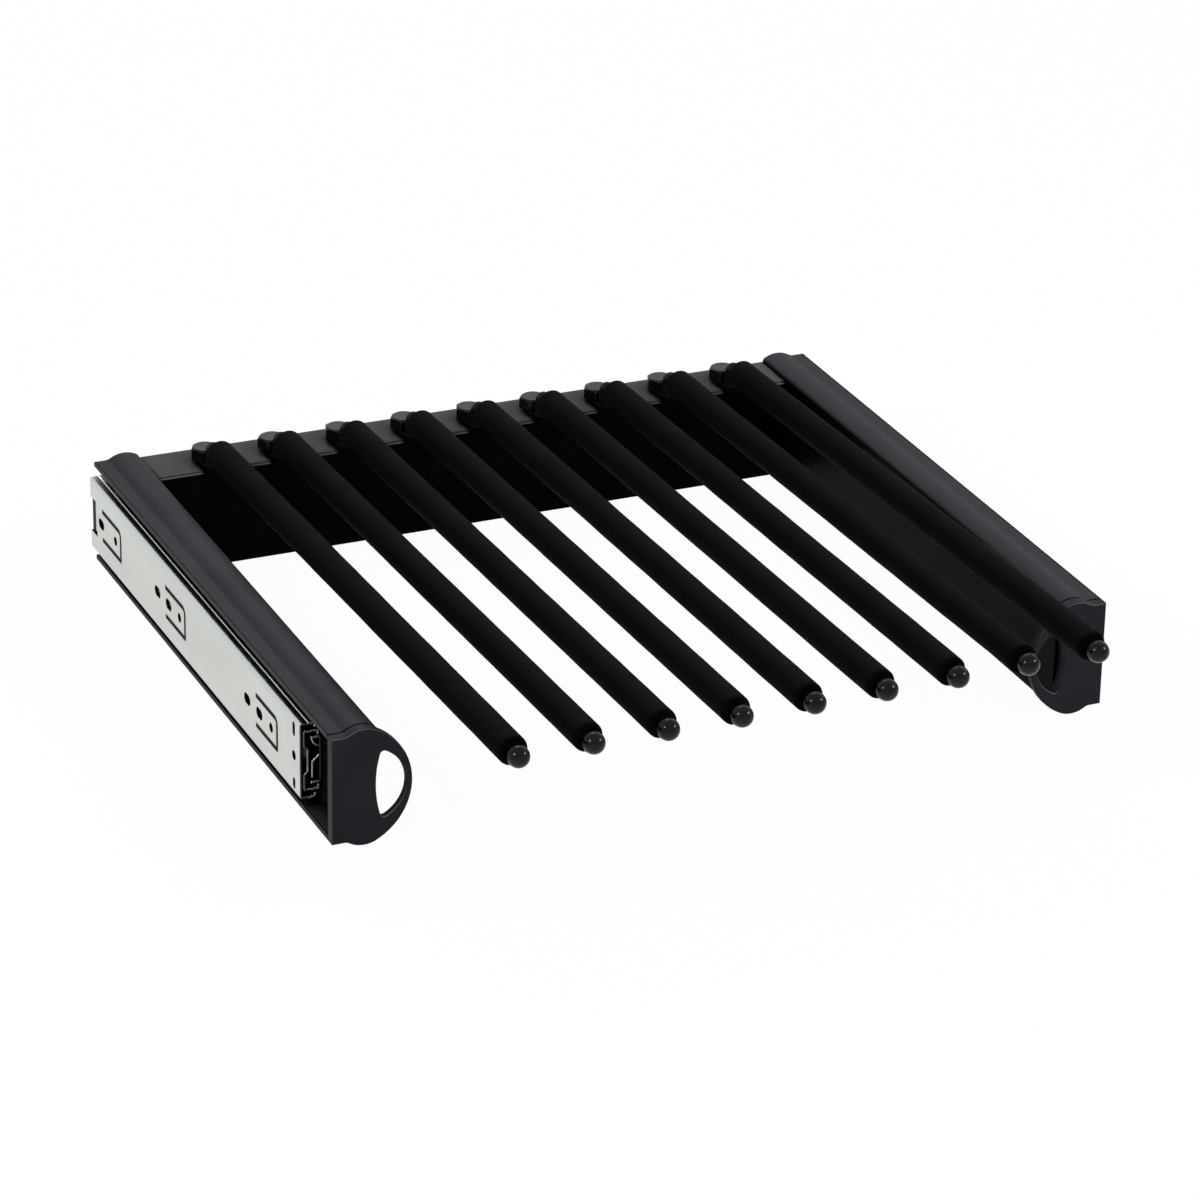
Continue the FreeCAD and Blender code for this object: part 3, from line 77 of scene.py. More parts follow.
def sheet_mesh(name, reach, squares):
    """A flat grid: x and y each run from -reach to reach, and z is 0 everywhere."""
    row = squares + 1
    steps = np.linspace(-reach, reach, row)
    x, y = np.meshgrid(steps, steps)
    points = np.stack([x.ravel(), y.ravel(), np.zeros(x.size)], axis=1)
    corner = (np.arange(squares)[:, None] * row + np.arange(squares)).ravel()
    faces = np.stack([corner, corner + 1, corner + row + 1, corner + row], axis=1)
    mesh = bpy.data.meshes.new(name)
    mesh.from_pydata(points.tolist(), [], faces.tolist())
    return mesh


def show_object(name, mesh):
    """Put a mesh into the scene as an object at the origin."""
    piece = bpy.data.objects.new(name, mesh)
    bpy.context.scene.collection.objects.link(piece)
    return piece


floor = show_object("floor", sheet_mesh("floor", FLOOR_REACH, FLOOR_SQUARES))
print("floor faces:", len(floor.data.polygons))

# %% [markdown]
# ## Nodes made short
# A material is a small chart of nodes. Written out in full, each node takes four or
# five lines, so a few helpers add a node, set its sockets and wire it up. A value in
# the call is typed into the socket, and another node's output is linked to it.

# %% Node helpers

def add_node(tree, kind, settings=None, **sockets):
    """Add a node, set its own settings, and fill its sockets by name."""
    made = tree.nodes.new(kind)
    for name, value in (settings or {}).items():
        setattr(made, name, value)
    for name, value in sockets.items():
        fill(tree, made, name.replace("_", " "), value)
    return made


def fill(tree, made, name, value):
    """Link an output to a socket, or type a plain value into it."""
    socket = made.inputs[int(name)] if name.isdigit() else made.inputs[name]
    if isinstance(value, bpy.types.NodeSocket):
        tree.links.new(value, socket)
    else:
        socket.default_value = value


def new_material(name):
    """A material with only its output node; returns the material and its tree."""
    material = bpy.data.materials.new(name)
    material.use_nodes = True
    material.node_tree.nodes.clear()
    return material, material.node_tree


def close_material(tree, shader):
    """Wire a shader to the material's output."""
    add_node(tree, "ShaderNodeOutputMaterial", Surface=shader.outputs[0])


def math_node(tree, operation, first, second=0.0, clamp=False):
    """One sum on two numbers or outputs."""
    made = tree.nodes.new("ShaderNodeMath")
    made.operation = operation
    made.use_clamp = clamp
    fill(tree, made, "0", first)
    fill(tree, made, "1", second)
    return made.outputs[0]


def product(tree, first, second):
    """First times second; two masks multiplied are 1 only where both are."""
    return math_node(tree, "MULTIPLY", first, second)


def seen_directly(tree):
    """1 for a ray of the camera, or one that comes by polished metal or through glass."""
    path = add_node(tree, "ShaderNodeLightPath")
    seen = path.outputs["Is Camera Ray"]
    for kind in ("Is Glossy Ray", "Is Transmission Ray"):
        seen = math_node(tree, "MAXIMUM", seen, path.outputs[kind])
    return seen


def white_sheet(name):
    """White light where it is seen directly, with a small share of lit diffuse white."""
    material, tree = new_material(name)
    plain = add_node(tree, "ShaderNodeBsdfDiffuse", Color=FLOOR_COLOUR)
    white = add_node(tree, "ShaderNodeEmission", Color=PURE_WHITE, Strength=1.0)
    mixed = add_node(tree, "ShaderNodeMixShader")
    fill(tree, mixed, "0", product(tree, seen_directly(tree), 1.0 - SHADOW_SHARE))
    fill(tree, mixed, "1", plain.outputs[0])
    fill(tree, mixed, "2", white.outputs[0])
    close_material(tree, mixed)
    return material


floor.data.materials.append(white_sheet("white_sheet"))
print("floor material:", floor.data.materials[0].name)

# %% [markdown]
# ## Light
# The rack stands in a white room. The room itself gives even light from all round.
# Three soft boxes stand above it: one at the left, one at the right front and a weaker
# one behind. The two in front are small, so that each ball tip shows two round lights.
# Sun lamps would draw hard streaks on the satin black, so area lamps are used.

# %% World and lamps
WORLD_STRENGTH = 0.42
LAMPS = [
    # name, place, watts, length of a side
    ("soft_box_left", (-2.15, -0.65, 1.70), 30.0, 0.65),
    ("soft_box_right", (2.0, -1.35, 1.60), 34.0, 0.65),
    ("soft_box_back", (0.3, 1.9, 1.8), 13.0, 0.9),
]
AIM = (0.0, -0.05, 0.05)


def white_world(strength):
    """White all round: seen directly, in metal and through glass it is plain white."""
    world = bpy.data.worlds.new("white_room")
    world.use_nodes = True
    tree = world.node_tree
    tree.nodes.clear()
    level = product(tree, seen_directly(tree), 1.0 - strength)
    level = math_node(tree, "ADD", level, strength)
    room = add_node(tree, "ShaderNodeBackground", Color=PURE_WHITE, Strength=level)
    add_node(tree, "ShaderNodeOutputWorld", Surface=room.outputs[0])
    return world


def aim_lamp(place, target):
    """Turn that points a lamp's -Z from a place at a target."""
    away = np.array(place) - np.array(target)
    away = away / np.linalg.norm(away)
    turn = math.atan2(away[0], -away[1])
    tilt = math.atan2(math.hypot(away[0], away[1]), away[2])
    return Matrix.Rotation(turn, 4, "Z") @ Matrix.Rotation(tilt, 4, "X")


def soft_box(name, place, watts, size):
    """A square area lamp that looks at the middle of the rack."""
    lamp = bpy.data.lights.new(name, "AREA")
    lamp.energy = watts
    lamp.size = size
    holder = show_object(name, lamp)
    holder.matrix_world = Matrix.Translation(place) @ aim_lamp(place, AIM)


bpy.context.scene.world = white_world(WORLD_STRENGTH)
for name, place, watts, size in LAMPS:
    soft_box(name, place, watts, size)
bpy.context.scene.view_settings.view_transform = "Standard"
print("lamps:", [lamp[0] for lamp in LAMPS])

# %% [markdown]
# ## Camera
# A long lens from the front left, looking down by about 25 degrees. The place and the
# three turns were found by fitting known points of the rack, so that the slide, the
# casings and the nine rods all land where they should.

# %% Camera
CAMERA_PLACE = (-1.08199, -2.38961, 1.27576)
LENS_MM = 153.666
SENSOR_MM = 36.0
LOOK_RIGHT_DEG = 24.0551
LOOK_DOWN_DEG = 25.1322
ROLL_DEG = 1.0866

lens = bpy.data.cameras.new("front_left")
lens.sensor_width = SENSOR_MM
lens.lens = LENS_MM
camera = show_object("front_left", lens)
camera.matrix_world = (
    Matrix.Translation(CAMERA_PLACE)
    @ Matrix.Rotation(math.radians(-LOOK_RIGHT_DEG), 4, "Z")
    @ Matrix.Rotation(math.radians(90.0 - LOOK_DOWN_DEG), 4, "X")
    @ Matrix.Rotation(math.radians(ROLL_DEG), 4, "Z")
)
bpy.context.scene.camera = camera
print("camera lens:", LENS_MM, "mm")

# %% [markdown]
# ## Soft edges, worn edges and painted shade
# Real edges are never knife sharp, and a coated edge catches the light as a thin
# line. The Bevel node rounds the shading of an edge without new faces. Where its
# normal leans away from the true one there is an edge, so the same node also gives a
# mask for wear and for painted edge highlights. The Ambient Occlusion node tells open
# faces from deep corners, which the finishes below paint dark as shade. Each
# helper is written once here, and most finishes below use it.

# %% Mask and colour helpers
RAY_SAMPLES = 6
EDGE_LEAN = (0.985, 0.86)
NOISE_SPAN = (0.3, 0.7)
TRUE_SIZE = (1.0, 1.0, 1.0)


def soft_normal(tree, radius):
    """Normal of the surface with its edges rounded to a radius."""
    bevel = add_node(tree, "ShaderNodeBevel", {"samples": RAY_SAMPLES}, Radius=radius)
    return bevel.outputs[0]


def hollow(tree, reach):
    """1 in the open and 0 deep in a slit, a hole or a corner, seen within a reach."""
    made = add_node(tree, "ShaderNodeAmbientOcclusion", {"samples": RAY_SAMPLES},
                    Distance=reach)
    return made.outputs["AO"]


def surface_normal(tree, kind="Normal"):
    """The shading normal, or with "True Normal" that of the flat face."""
    return add_node(tree, "ShaderNodeNewGeometry").outputs[kind]


def split(tree, vector):
    """The X, Y and Z of a vector, by name."""
    return add_node(tree, "ShaderNodeSeparateXYZ", Vector=vector).outputs


def spread(tree, value, low, high, start=NOISE_SPAN[0], end=NOISE_SPAN[1]):
    """Low at start and high at end, in a straight line between, and flat beyond."""
    made = add_node(tree, "ShaderNodeMapRange", Value=value)
    for name, number in (("From Min", start), ("From Max", end), ("To Min", low),
                         ("To Max", high)):
        fill(tree, made, name, number)
    return made.outputs["Result"]


def ramp(tree, value, start, end):
    """0 at start and 1 at end, in a straight line between, and flat beyond."""
    return spread(tree, value, 0.0, 1.0, start, end)


def edge_mask(tree, rounded):
    """0 on a face and 1 on an edge: how far the rounded normal leans from the true one."""
    lean = add_node(tree, "ShaderNodeVectorMath", {"operation": "DOT_PRODUCT"})
    fill(tree, lean, "0", rounded)
    fill(tree, lean, "1", surface_normal(tree))
    return ramp(tree, lean.outputs["Value"], *EDGE_LEAN)


def facing_up(tree, normal, start, end):
    """0 where the z of a normal is below start, and 1 where it passes end."""
    return ramp(tree, split(tree, normal)["Z"], start, end)


def coordinate(tree, axis):
    """Place along one axis of the frame; X is counted outward on both sides."""
    value = split(tree, add_node(tree, "ShaderNodeTexCoord").outputs["Object"])[axis]
    return math_node(tree, "ABSOLUTE", value) if axis == "X" else value


def near_to(tree, value, place, half):
    """1 where a value lies within half of a place, and 0 elsewhere."""
    apart = math_node(tree, "ABSOLUTE", math_node(tree, "SUBTRACT", value, place))
    return math_node(tree, "LESS_THAN", apart, half)


def band(tree, axis, place, half):
    """1 within half of a place along an axis, and 0 elsewhere."""
    return near_to(tree, coordinate(tree, axis), place, half)


def stretched_place(tree, stretch=TRUE_SIZE):
    """Object coordinates, multiplied along each axis so that a pattern is drawn out."""
    place = add_node(tree, "ShaderNodeTexCoord").outputs["Object"]
    mapping = add_node(tree, "ShaderNodeMapping", Vector=place, Scale=stretch)
    return mapping.outputs["Vector"]


def noise(tree, place, scale, detail=2.0, rough=0.5):
    """Soft random values between 0 and 1."""
    made = add_node(tree, "ShaderNodeTexNoise", Vector=place, Scale=scale, Detail=detail,
                    Roughness=rough)
    return made.outputs["Fac"]


def cells(tree, place, scale):
    """Distance to the middle of the nearest of many small random cells."""
    made = add_node(tree, "ShaderNodeTexVoronoi", Vector=place, Scale=scale)
    return made.outputs["Distance"]


def blend_colour(tree, share, first, second):
    """Mix two colours by a share from 0 to 1."""
    made = add_node(tree, "ShaderNodeMix", {"data_type": "RGBA"})
    tree.links.new(share, made.inputs[0])
    for socket, value in ((made.inputs[6], first), (made.inputs[7], second)):
        if isinstance(value, bpy.types.NodeSocket):
            tree.links.new(value, socket)
        else:
            socket.default_value = (*value, 1.0)
    return made.outputs[2]


def bump(tree, height, distance, normal=None):
    """Shade small relief from a height between 0 and 1 times a distance in metres."""
    made = add_node(tree, "ShaderNodeBump", Height=height, Distance=distance, Strength=1.0)
    if normal is not None:
        fill(tree, made, "Normal", normal)
    return made.outputs["Normal"]


def principled(tree, colour, roughness, normal, metallic=0.0, **fixed):
    """The main shader; a fixed value is typed straight into its socket."""
    made = add_node(tree, "ShaderNodeBsdfPrincipled", Roughness=roughness, Metallic=metallic)
    fill(tree, made, "Base Color", colour)
    fill(tree, made, "Normal", normal)
    for name, value in fixed.items():
        fill(tree, made, name.replace("_", " "), value)
    return made


print("mask and colour helpers ready; rays for each mask:", RAY_SAMPLES)

# %% [markdown]
# ## Zinc-plated slide steel
# The slides are rolled from zinc-plated strip. The plating is a bright grey with a
# slight green and yellow bloom, drawn out along the slide by the rolls. Noise that is
# stretched along Y gives the rolling lines, a broad cloud gives the bloom, and a
# little roughness comes and goes with both. What lies deep between the members is
# painted dark as shade, and its edges get a painted highlight. The face to the cabinet,
# the crest of the bead and the sawn front ends are left out of the painted shade, and
# so is what comes out into the open when the rack is pulled. The bead and the sawn ends
# carry a painted highlight. The slits round the tabs have turned-in edges that lie in
# shadow, so a mask paints that shade a little wider than the cut. All these places are
# masks on the object's own coordinates, because the steel is one sheet with one material.

# %% Zinc strip
ZINC_PALE = (0.63, 0.65, 0.615)
ZINC_GREY = (0.53, 0.55, 0.515)
CAGE_PALE = (0.58, 0.58, 0.55)
CAGE_GREY = (0.40, 0.40, 0.38)
BEND_TINT = (0.52, 0.58, 0.60)
# Painted highlight on the crest of the bead
BEAD_PAINTED_HIGHLIGHT = (0.97, 0.98, 0.98)
# Painted shade for what lies deep between the members, with a painted highlight on its edges
ZINC_PAINTED_SHADE = (0.020, 0.020, 0.019)
ZINC_SHADE_EDGE_HIGHLIGHT = (0.22, 0.23, 0.22)
# Painted highlight on the sawn front ends
CUT_END_HIGHLIGHT = (0.90, 0.90, 0.88)
DULL_EDGE = (0.20, 0.21, 0.205)
INNER_EDGE = (0.04, 0.04, 0.039)
# Outward places, each with half of its width
FACE_BAND = (0.234, 0.0009)
BEAD_BAND = (0.2290, 0.0004)
CATCH_BAND = (0.2264, 0.0034)
INNER_BAND = (0.2207, 0.0022)
# Along and up
SLIDE_FRONT = -0.1005
SLIDE_MIDDLE = 0.034436
FLAT_HALF = 0.0200
BEAD_FOOT = 0.02262
OUTWARD_LEAN = 0.3
AHEAD_LEAN = -0.9
OPEN_REACH = 0.012
OPEN_SPAN = (0.74, 0.95)
CLOUD_STRETCH = (1.0, 0.35, 1.0)
ROLL_STRETCH = (1.0, 0.012, 1.0)
# The tabs: where each front lies, and its slit measured from there
TAB_FRONTS = (-0.067061, 0.081939, 0.193939)
TAB_APPROACH = 0.01
SLIT_HALF = 0.0016
SLIT_UP = 0.0090
UPPER_SIDE = (0.01925, 0.01475)
LOWER_SIDE = (0.0170, 0.0170)
SLIT_AHEAD = 0.00075
FRONT_SIDE = (-0.00225, 0.0075)
CORNER_ALONG = 0.0045
CORNER_UP = 0.00525
CORNER_RADIUS = 0.00375


def tab_line(tree):
    """1 along the slit round each tab: two sides, the front, and the rounded corner.

    Each tab's steps are taken off the place along the slide, so one drawing serves all.
    The corner is a quarter circle: sqrt(aside^2 + above^2) is near its radius.
    """
    along = coordinate(tree, "Y")
    for before, front in zip(TAB_FRONTS, TAB_FRONTS[1:]):
        later = math_node(tree, "GREATER_THAN", coordinate(tree, "Y"), front - TAB_APPROACH)
        along = math_node(tree, "SUBTRACT", along, product(tree, later, front - before))
    along = math_node(tree, "SUBTRACT", along, TAB_FRONTS[0])
    across = math_node(tree, "SUBTRACT", coordinate(tree, "Z"), SLIDE_MIDDLE)
    aside = math_node(tree, "SUBTRACT", along, CORNER_ALONG)
    above = math_node(tree, "SUBTRACT", across, CORNER_UP)
    squares = math_node(tree, "ADD", product(tree, aside, aside), product(tree, above, above))
    reach = math_node(tree, "SQRT", squares)
    quarter = product(tree, math_node(tree, "LESS_THAN", aside, 0.0),
                      math_node(tree, "GREATER_THAN", above, 0.0))
    pieces = [
        (near_to(tree, across, SLIT_UP, SLIT_HALF), near_to(tree, along, *UPPER_SIDE)),
        (near_to(tree, across, -SLIT_UP, SLIT_HALF), near_to(tree, along, *LOWER_SIDE)),
        (near_to(tree, along, SLIT_AHEAD, SLIT_HALF), near_to(tree, across, *FRONT_SIDE)),
        (near_to(tree, reach, CORNER_RADIUS, SLIT_HALF), quarter),
    ]
    line = product(tree, *pieces[0])
    for first, second in pieces[1:]:
        line = math_node(tree, "MAXIMUM", line, product(tree, first, second))
    return line


def zinc_strip(name, pale, grey, roughness):
    """Metal in two greys; painted shade darkens what lies deep between the members."""
    material, tree = new_material(name)
    clouds = noise(tree, stretched_place(tree, CLOUD_STRETCH), scale=26.0, detail=4.0)
    lines = noise(tree, stretched_place(tree, ROLL_STRETCH), scale=1400.0, detail=3.0, rough=0.6)
    rounded = soft_normal(tree, radius=0.0007)
    tone = math_node(tree, "ADD", spread(tree, clouds, low=0.0, high=0.8),
                     spread(tree, lines, low=-0.1, high=0.2), clamp=True)
    colour = blend_colour(tree, tone, grey, pale)

    # Masks: the face to the cabinet, its flat middle, the bead, and the sawn front end
    lean = split(tree, surface_normal(tree, "True Normal"))
    outward = math_node(tree, "GREATER_THAN", math_node(tree, "ABSOLUTE", lean["X"]),
                        OUTWARD_LEAN)
    face = product(tree, band(tree, "X", *FACE_BAND), outward)
    flat = band(tree, "Z", SLIDE_MIDDLE, FLAT_HALF)
    beyond = math_node(tree, "SUBTRACT", 1.0, band(tree, "Z", SLIDE_MIDDLE, BEAD_FOOT))
    bead = product(tree, beyond, band(tree, "X", *BEAD_BAND))
    # The face and the bead are left out of the painted shade
    unshaded = math_node(tree, "MAXIMUM", face, bead)
    ahead = math_node(tree, "LESS_THAN", lean["Y"], AHEAD_LEAN)
    cut = product(tree, ahead, math_node(tree, "LESS_THAN", coordinate(tree, "Y"), SLIDE_FRONT))

    # Painted shade inside, with a painted highlight on its edges, except on steel that has come
    # out into the open
    inside = blend_colour(tree, edge_mask(tree, rounded), ZINC_PAINTED_SHADE, ZINC_SHADE_EDGE_HIGHLIGHT)
    inside = blend_colour(tree, ramp(tree, hollow(tree, OPEN_REACH), *OPEN_SPAN), inside, colour)
    colour = blend_colour(tree, flat, BEND_TINT, colour)
    colour = blend_colour(tree, unshaded, inside, colour)
    # Painted highlight along the crest of the bead
    colour = blend_colour(tree, bead, colour, BEAD_PAINTED_HIGHLIGHT)

    # Painted shade on the walls of the holes and in the widened slits
    wall = product(tree, flat, math_node(tree, "SUBTRACT", 1.0, outward))
    slit = product(tree, face, tab_line(tree))
    colour = blend_colour(tree, math_node(tree, "MAXIMUM", wall, slit), colour, ZINC_PAINTED_SHADE)

    # The sawn ends: a painted highlight, but dull on the catch and dark on the inner member
    bright = blend_colour(tree, band(tree, "X", *CATCH_BAND), DULL_EDGE, CUT_END_HIGHLIGHT)
    bright = blend_colour(tree, band(tree, "X", *INNER_BAND), bright, INNER_EDGE)
    colour = blend_colour(tree, cut, colour, bright)

    matt = math_node(tree, "ADD", spread(tree, clouds, low=-0.04, high=0.04), roughness)
    matt = math_node(tree, "ADD", matt, spread(tree, lines, low=-0.05, high=0.05))
    relief = bump(tree, lines, distance=0.000012, normal=rounded)
    close_material(tree, principled(tree, colour, matt, relief, metallic=1.0))
    return material


zinc_steel = zinc_strip("zinc_steel", ZINC_PALE, ZINC_GREY, roughness=0.36)
cage_steel = zinc_strip("cage_steel", CAGE_PALE, CAGE_GREY, roughness=0.30)
print("zinc strip:", len(zinc_steel.node_tree.nodes), "nodes")

# %% [markdown]
# ## Powder-coated profiles
# The casings and the rail are extruded profiles with a satin black powder coat. The
# coat has a fine orange peel, follows faint die lines along the profile, and lies
# thinner over edges, which are a little paler, as wear and as a painted highlight. What
# faces up is painted paler, as light from above, and the lip of each casing and the
# front edge of the rail carry a painted highlight. Sides stay black, hollows and the
# rail under the feet of the rods are painted black as shade, and the seams are dark joints.

# %% Powder coat
RIM_BAND = (0.231, 0.0004)
CASING_FRONT = -0.134561
CASING_LIP = 0.2302
RAIL_END = 0.2035
RAIL_EDGE = 0.2163
RAIL_GLINT = (0.16, 0.16, 0.17)
SEAM = 0.0008
FINE_LINE = 0.0003
# Near black for painted shade in hollows and under the rod feet, and for the dark seams
SHADE_AND_SEAM_BLACK = (0.0004, 0.0004, 0.0004)
# Edge colour: thin coat over edges and a painted highlight
COAT_EDGE_WEAR_AND_HIGHLIGHT = (0.03, 0.03, 0.033)
PAINTED_SHADE_SPAN = (0.1, 0.6)
COAT_REACH = 0.012
TOP_LIGHT_LEAN = (0.30, 1.0)
TOP_LIGHT_SPAN = (0.35, 0.95)
UPWARD_LEAN = (0.2, 0.3)
ROD_PITCH = 0.042
FOOT_SIDE = (0.0095, 0.0065)
FOOT_END = (0.2345, 0.2275)


def foot_shadow(tree):
    """1 under and in front of the foot of each rod, fading out over a few millimetres."""
    along = math_node(tree, "ADD", coordinate(tree, "X"), ROD_PITCH / 2)
    along = math_node(tree, "MODULO", along, ROD_PITCH)
    along = math_node(tree, "SUBTRACT", along, ROD_PITCH / 2)
    near = ramp(tree, math_node(tree, "ABSOLUTE", along), *FOOT_SIDE)
    return product(tree, near, ramp(tree, coordinate(tree, "Y"), *FOOT_END))


def powder_coat(name, black, pale, rim, roughness, along, lines_along, feet=False):
    """Satin black: painted paler where it faces up, as light from above; black on the sides, and
    painted shade in the hollows.
    """
    material, tree = new_material(name)
    place = stretched_place(tree)
    peel = noise(tree, place, scale=900.0, detail=2.0)
    clouds = noise(tree, place, scale=14.0, detail=3.0)
    lines = noise(tree, stretched_place(tree, along), scale=700.0, detail=2.0)
    rounded = soft_normal(tree, radius=0.0006)
    open_air = hollow(tree, COAT_REACH)
    # Painted light: what faces up and lies in the open is drawn paler
    coat_top_light = product(tree, facing_up(tree, rounded, *TOP_LIGHT_LEAN),
                    spread(tree, clouds, low=0.8, high=1.05))
    coat_top_light = product(tree, coat_top_light, ramp(tree, open_air, *TOP_LIGHT_SPAN))
    colour = blend_colour(tree, coat_top_light, black, pale)
    # Painted highlight on the lip of the casing
    lip_highlight = product(tree, band(tree, "X", *RIM_BAND), open_air)
    colour = blend_colour(tree, lip_highlight, colour, rim)
    # Edges paler, as thin coat and as a painted highlight
    colour = blend_colour(tree, edge_mask(tree, rounded), colour, COAT_EDGE_WEAR_AND_HIGHLIGHT)
    # Painted shade: hollows go black
    colour = blend_colour(tree, ramp(tree, open_air, *PAINTED_SHADE_SPAN), SHADE_AND_SEAM_BLACK, colour)
    upward = facing_up(tree, rounded, *UPWARD_LEAN)
    for axis, spot, half, tone in lines_along:
        drawn = product(tree, band(tree, axis, spot, half), upward)
        colour = blend_colour(tree, drawn, colour, tone)
    if feet:
        colour = blend_colour(tree, foot_shadow(tree), colour, SHADE_AND_SEAM_BLACK)
    matt = math_node(tree, "ADD", spread(tree, clouds, low=-0.04, high=0.04), roughness)
    height = math_node(tree, "ADD", peel, product(tree, lines, 0.5))
    relief = bump(tree, height, distance=0.00002, normal=rounded)
    shader = principled(tree, colour, matt, relief, Specular_IOR_Level=0.012)
    close_material(tree, shader)
    return material


# pale is the painted light on what faces up, and rim is the painted highlight on the lip
casing_coat = powder_coat(
    "black_coated_profile", black=(0.0022, 0.0021, 0.0026), pale=(0.045, 0.0435, 0.051),
    rim=(0.05, 0.05, 0.052), roughness=0.42, along=(1.0, 0.01, 1.0),
    lines_along=[("Y", CASING_FRONT, SEAM, SHADE_AND_SEAM_BLACK), ("X", CASING_LIP, FINE_LINE, SHADE_AND_SEAM_BLACK)])
rail_coat = powder_coat(
    "black_coated_rail", black=(0.0012, 0.0012, 0.0015), pale=(0.083, 0.083, 0.089),
    rim=(0.02, 0.02, 0.02), roughness=0.40, along=(0.01, 1.0, 1.0),
    lines_along=[("Y", RAIL_EDGE, FINE_LINE, RAIL_GLINT), ("X", RAIL_END, SEAM, SHADE_AND_SEAM_BLACK)],
    feet=True)
print("powder coats made")

# %% [markdown]
# ## Moulded black plastic
# End caps, levers, plugs and stops are moulded with a fine spark-eroded grain. A
# pattern of cells gives the grain, and soft noise varies the tone. Edges of a moulding
# polish with use, so they are a little smoother, and they are painted paler, as wear and
# as a highlight. The rounding at the upper front and the rim along the casing carry a
# painted highlight, hollows are painted black as shade, and a black seam parts the cap
# from its casing.

# %% Moulded plastic
PLASTIC_REACH = 0.006
# Edge colour: wear and a painted highlight
PLASTIC_EDGE_WEAR_AND_HIGHLIGHT = (0.03, 0.03, 0.032)
ROUNDING_LEAN = 0.70
ROUNDING_SPAN = (0.16, 0.03)
ROUNDING_RISE = (0.1, 0.6)


def moulded_plastic(name, black, pale, rim, rounding_highlight, roughness, grain):
    """Black plastic: grain from cells, tone from soft noise, painted highlights on roundings and
    edges.
    """
    material, tree = new_material(name)
    place = stretched_place(tree)
    clouds = noise(tree, place, scale=30.0, detail=3.0)
    rounded = soft_normal(tree, radius=0.0005)
    edge = edge_mask(tree, rounded)
    open_air = hollow(tree, PLASTIC_REACH)
    colour = blend_colour(tree, spread(tree, clouds, low=0.0, high=1.0), black, pale)
    # Painted highlight on the rim along the casing
    lip_highlight = product(tree, band(tree, "X", *RIM_BAND), open_air)
    colour = blend_colour(tree, lip_highlight, colour, rim)
    lean = split(tree, surface_normal(tree))
    slope = math_node(tree, "ABSOLUTE", math_node(tree, "ADD", lean["Y"], ROUNDING_LEAN))
    # Painted highlight on the rounding at the upper front
    turned = product(tree, ramp(tree, slope, *ROUNDING_SPAN),
                     ramp(tree, lean["Z"], *ROUNDING_RISE))
    colour = blend_colour(tree, turned, colour, rounding_highlight)
    # Edges paler, as wear and as a painted highlight
    colour = blend_colour(tree, edge, colour, PLASTIC_EDGE_WEAR_AND_HIGHLIGHT)
    # Painted shade: hollows go black
    colour = blend_colour(tree, ramp(tree, open_air, *PAINTED_SHADE_SPAN), SHADE_AND_SEAM_BLACK, colour)
    colour = blend_colour(tree, band(tree, "Y", CASING_FRONT, SEAM), colour, SHADE_AND_SEAM_BLACK)
    matt = math_node(tree, "ADD", spread(tree, clouds, low=-0.03, high=0.03), roughness)
    matt = math_node(tree, "SUBTRACT", matt, product(tree, edge, 0.12))
    relief = bump(tree, cells(tree, place, scale=1700.0), grain, rounded)
    shader = principled(tree, colour, matt, relief, Specular_IOR_Level=0.05)
    close_material(tree, shader)
    return material


cap_plastic = moulded_plastic(
    "black_cap", black=(0.0156, 0.0148, 0.0205), pale=(0.0206, 0.0195, 0.0262),
    rim=(0.026, 0.026, 0.029), rounding_highlight=(0.20, 0.20, 0.21), roughness=0.50, grain=0.00003)
lever_plastic = moulded_plastic(
    "black_plastic", black=(0.003, 0.003, 0.0035), pale=(0.006, 0.006, 0.007),
    rim=(0.01, 0.01, 0.01), rounding_highlight=(0.02, 0.02, 0.02), roughness=0.45, grain=0.00002)
print("moulded plastics made")

# %% [markdown]
# ## Rods, bolts, screws and bearing balls
# The rods have a thin brown-black lacquer, and the bolts a blue-black finish. Screws
# are bright zinc. The bearing balls are polished and carry a film of grease. On all of
# them the edges are painted paler, as wear to bare metal and as a highlight, most on the
# corners of the bolt heads, and hollows are painted black as shade.

# %% Small metal parts
METAL_REACH = 0.004
METAL_PAINTED_SHADE_SPAN = (0.3, 0.8)


def metal_with_worn_highlit_edges(name, colour, pale, edge, roughness, metallic=1.0, scale=60.0, specular=0.5):
    """Metal or lacquer in two tones; its edges are painted a third colour as wear and highlight,
    and its hollows are painted shade.
    """
    material, tree = new_material(name)
    place = stretched_place(tree)
    clouds = noise(tree, place, scale, detail=4.0)
    fine = noise(tree, place, scale=1200.0, detail=2.0)
    rounded = soft_normal(tree, radius=0.0004)
    tone = blend_colour(tree, spread(tree, clouds, low=0.0, high=1.0), colour, pale)
    # Edges paler, as wear and as a painted highlight
    tone = blend_colour(tree, edge_mask(tree, rounded), tone, edge)
    # Painted shade: hollows go black
    depth = ramp(tree, hollow(tree, METAL_REACH), *METAL_PAINTED_SHADE_SPAN)
    tone = blend_colour(tree, depth, SHADE_AND_SEAM_BLACK, tone)
    matt = math_node(tree, "ADD", spread(tree, clouds, low=-0.06, high=0.06), roughness)
    relief = bump(tree, fine, distance=0.00001, normal=rounded)
    shader = principled(tree, tone, matt, relief, metallic=metallic,
                        Specular_IOR_Level=specular)
    close_material(tree, shader)
    return material


rod_lacquer = metal_with_worn_highlit_edges(
    "rod_steel", colour=(0.003, 0.0027, 0.0026), pale=(0.006, 0.0055, 0.005),
    edge=(0.012, 0.011, 0.010), roughness=0.45, metallic=0.0, specular=0.03)
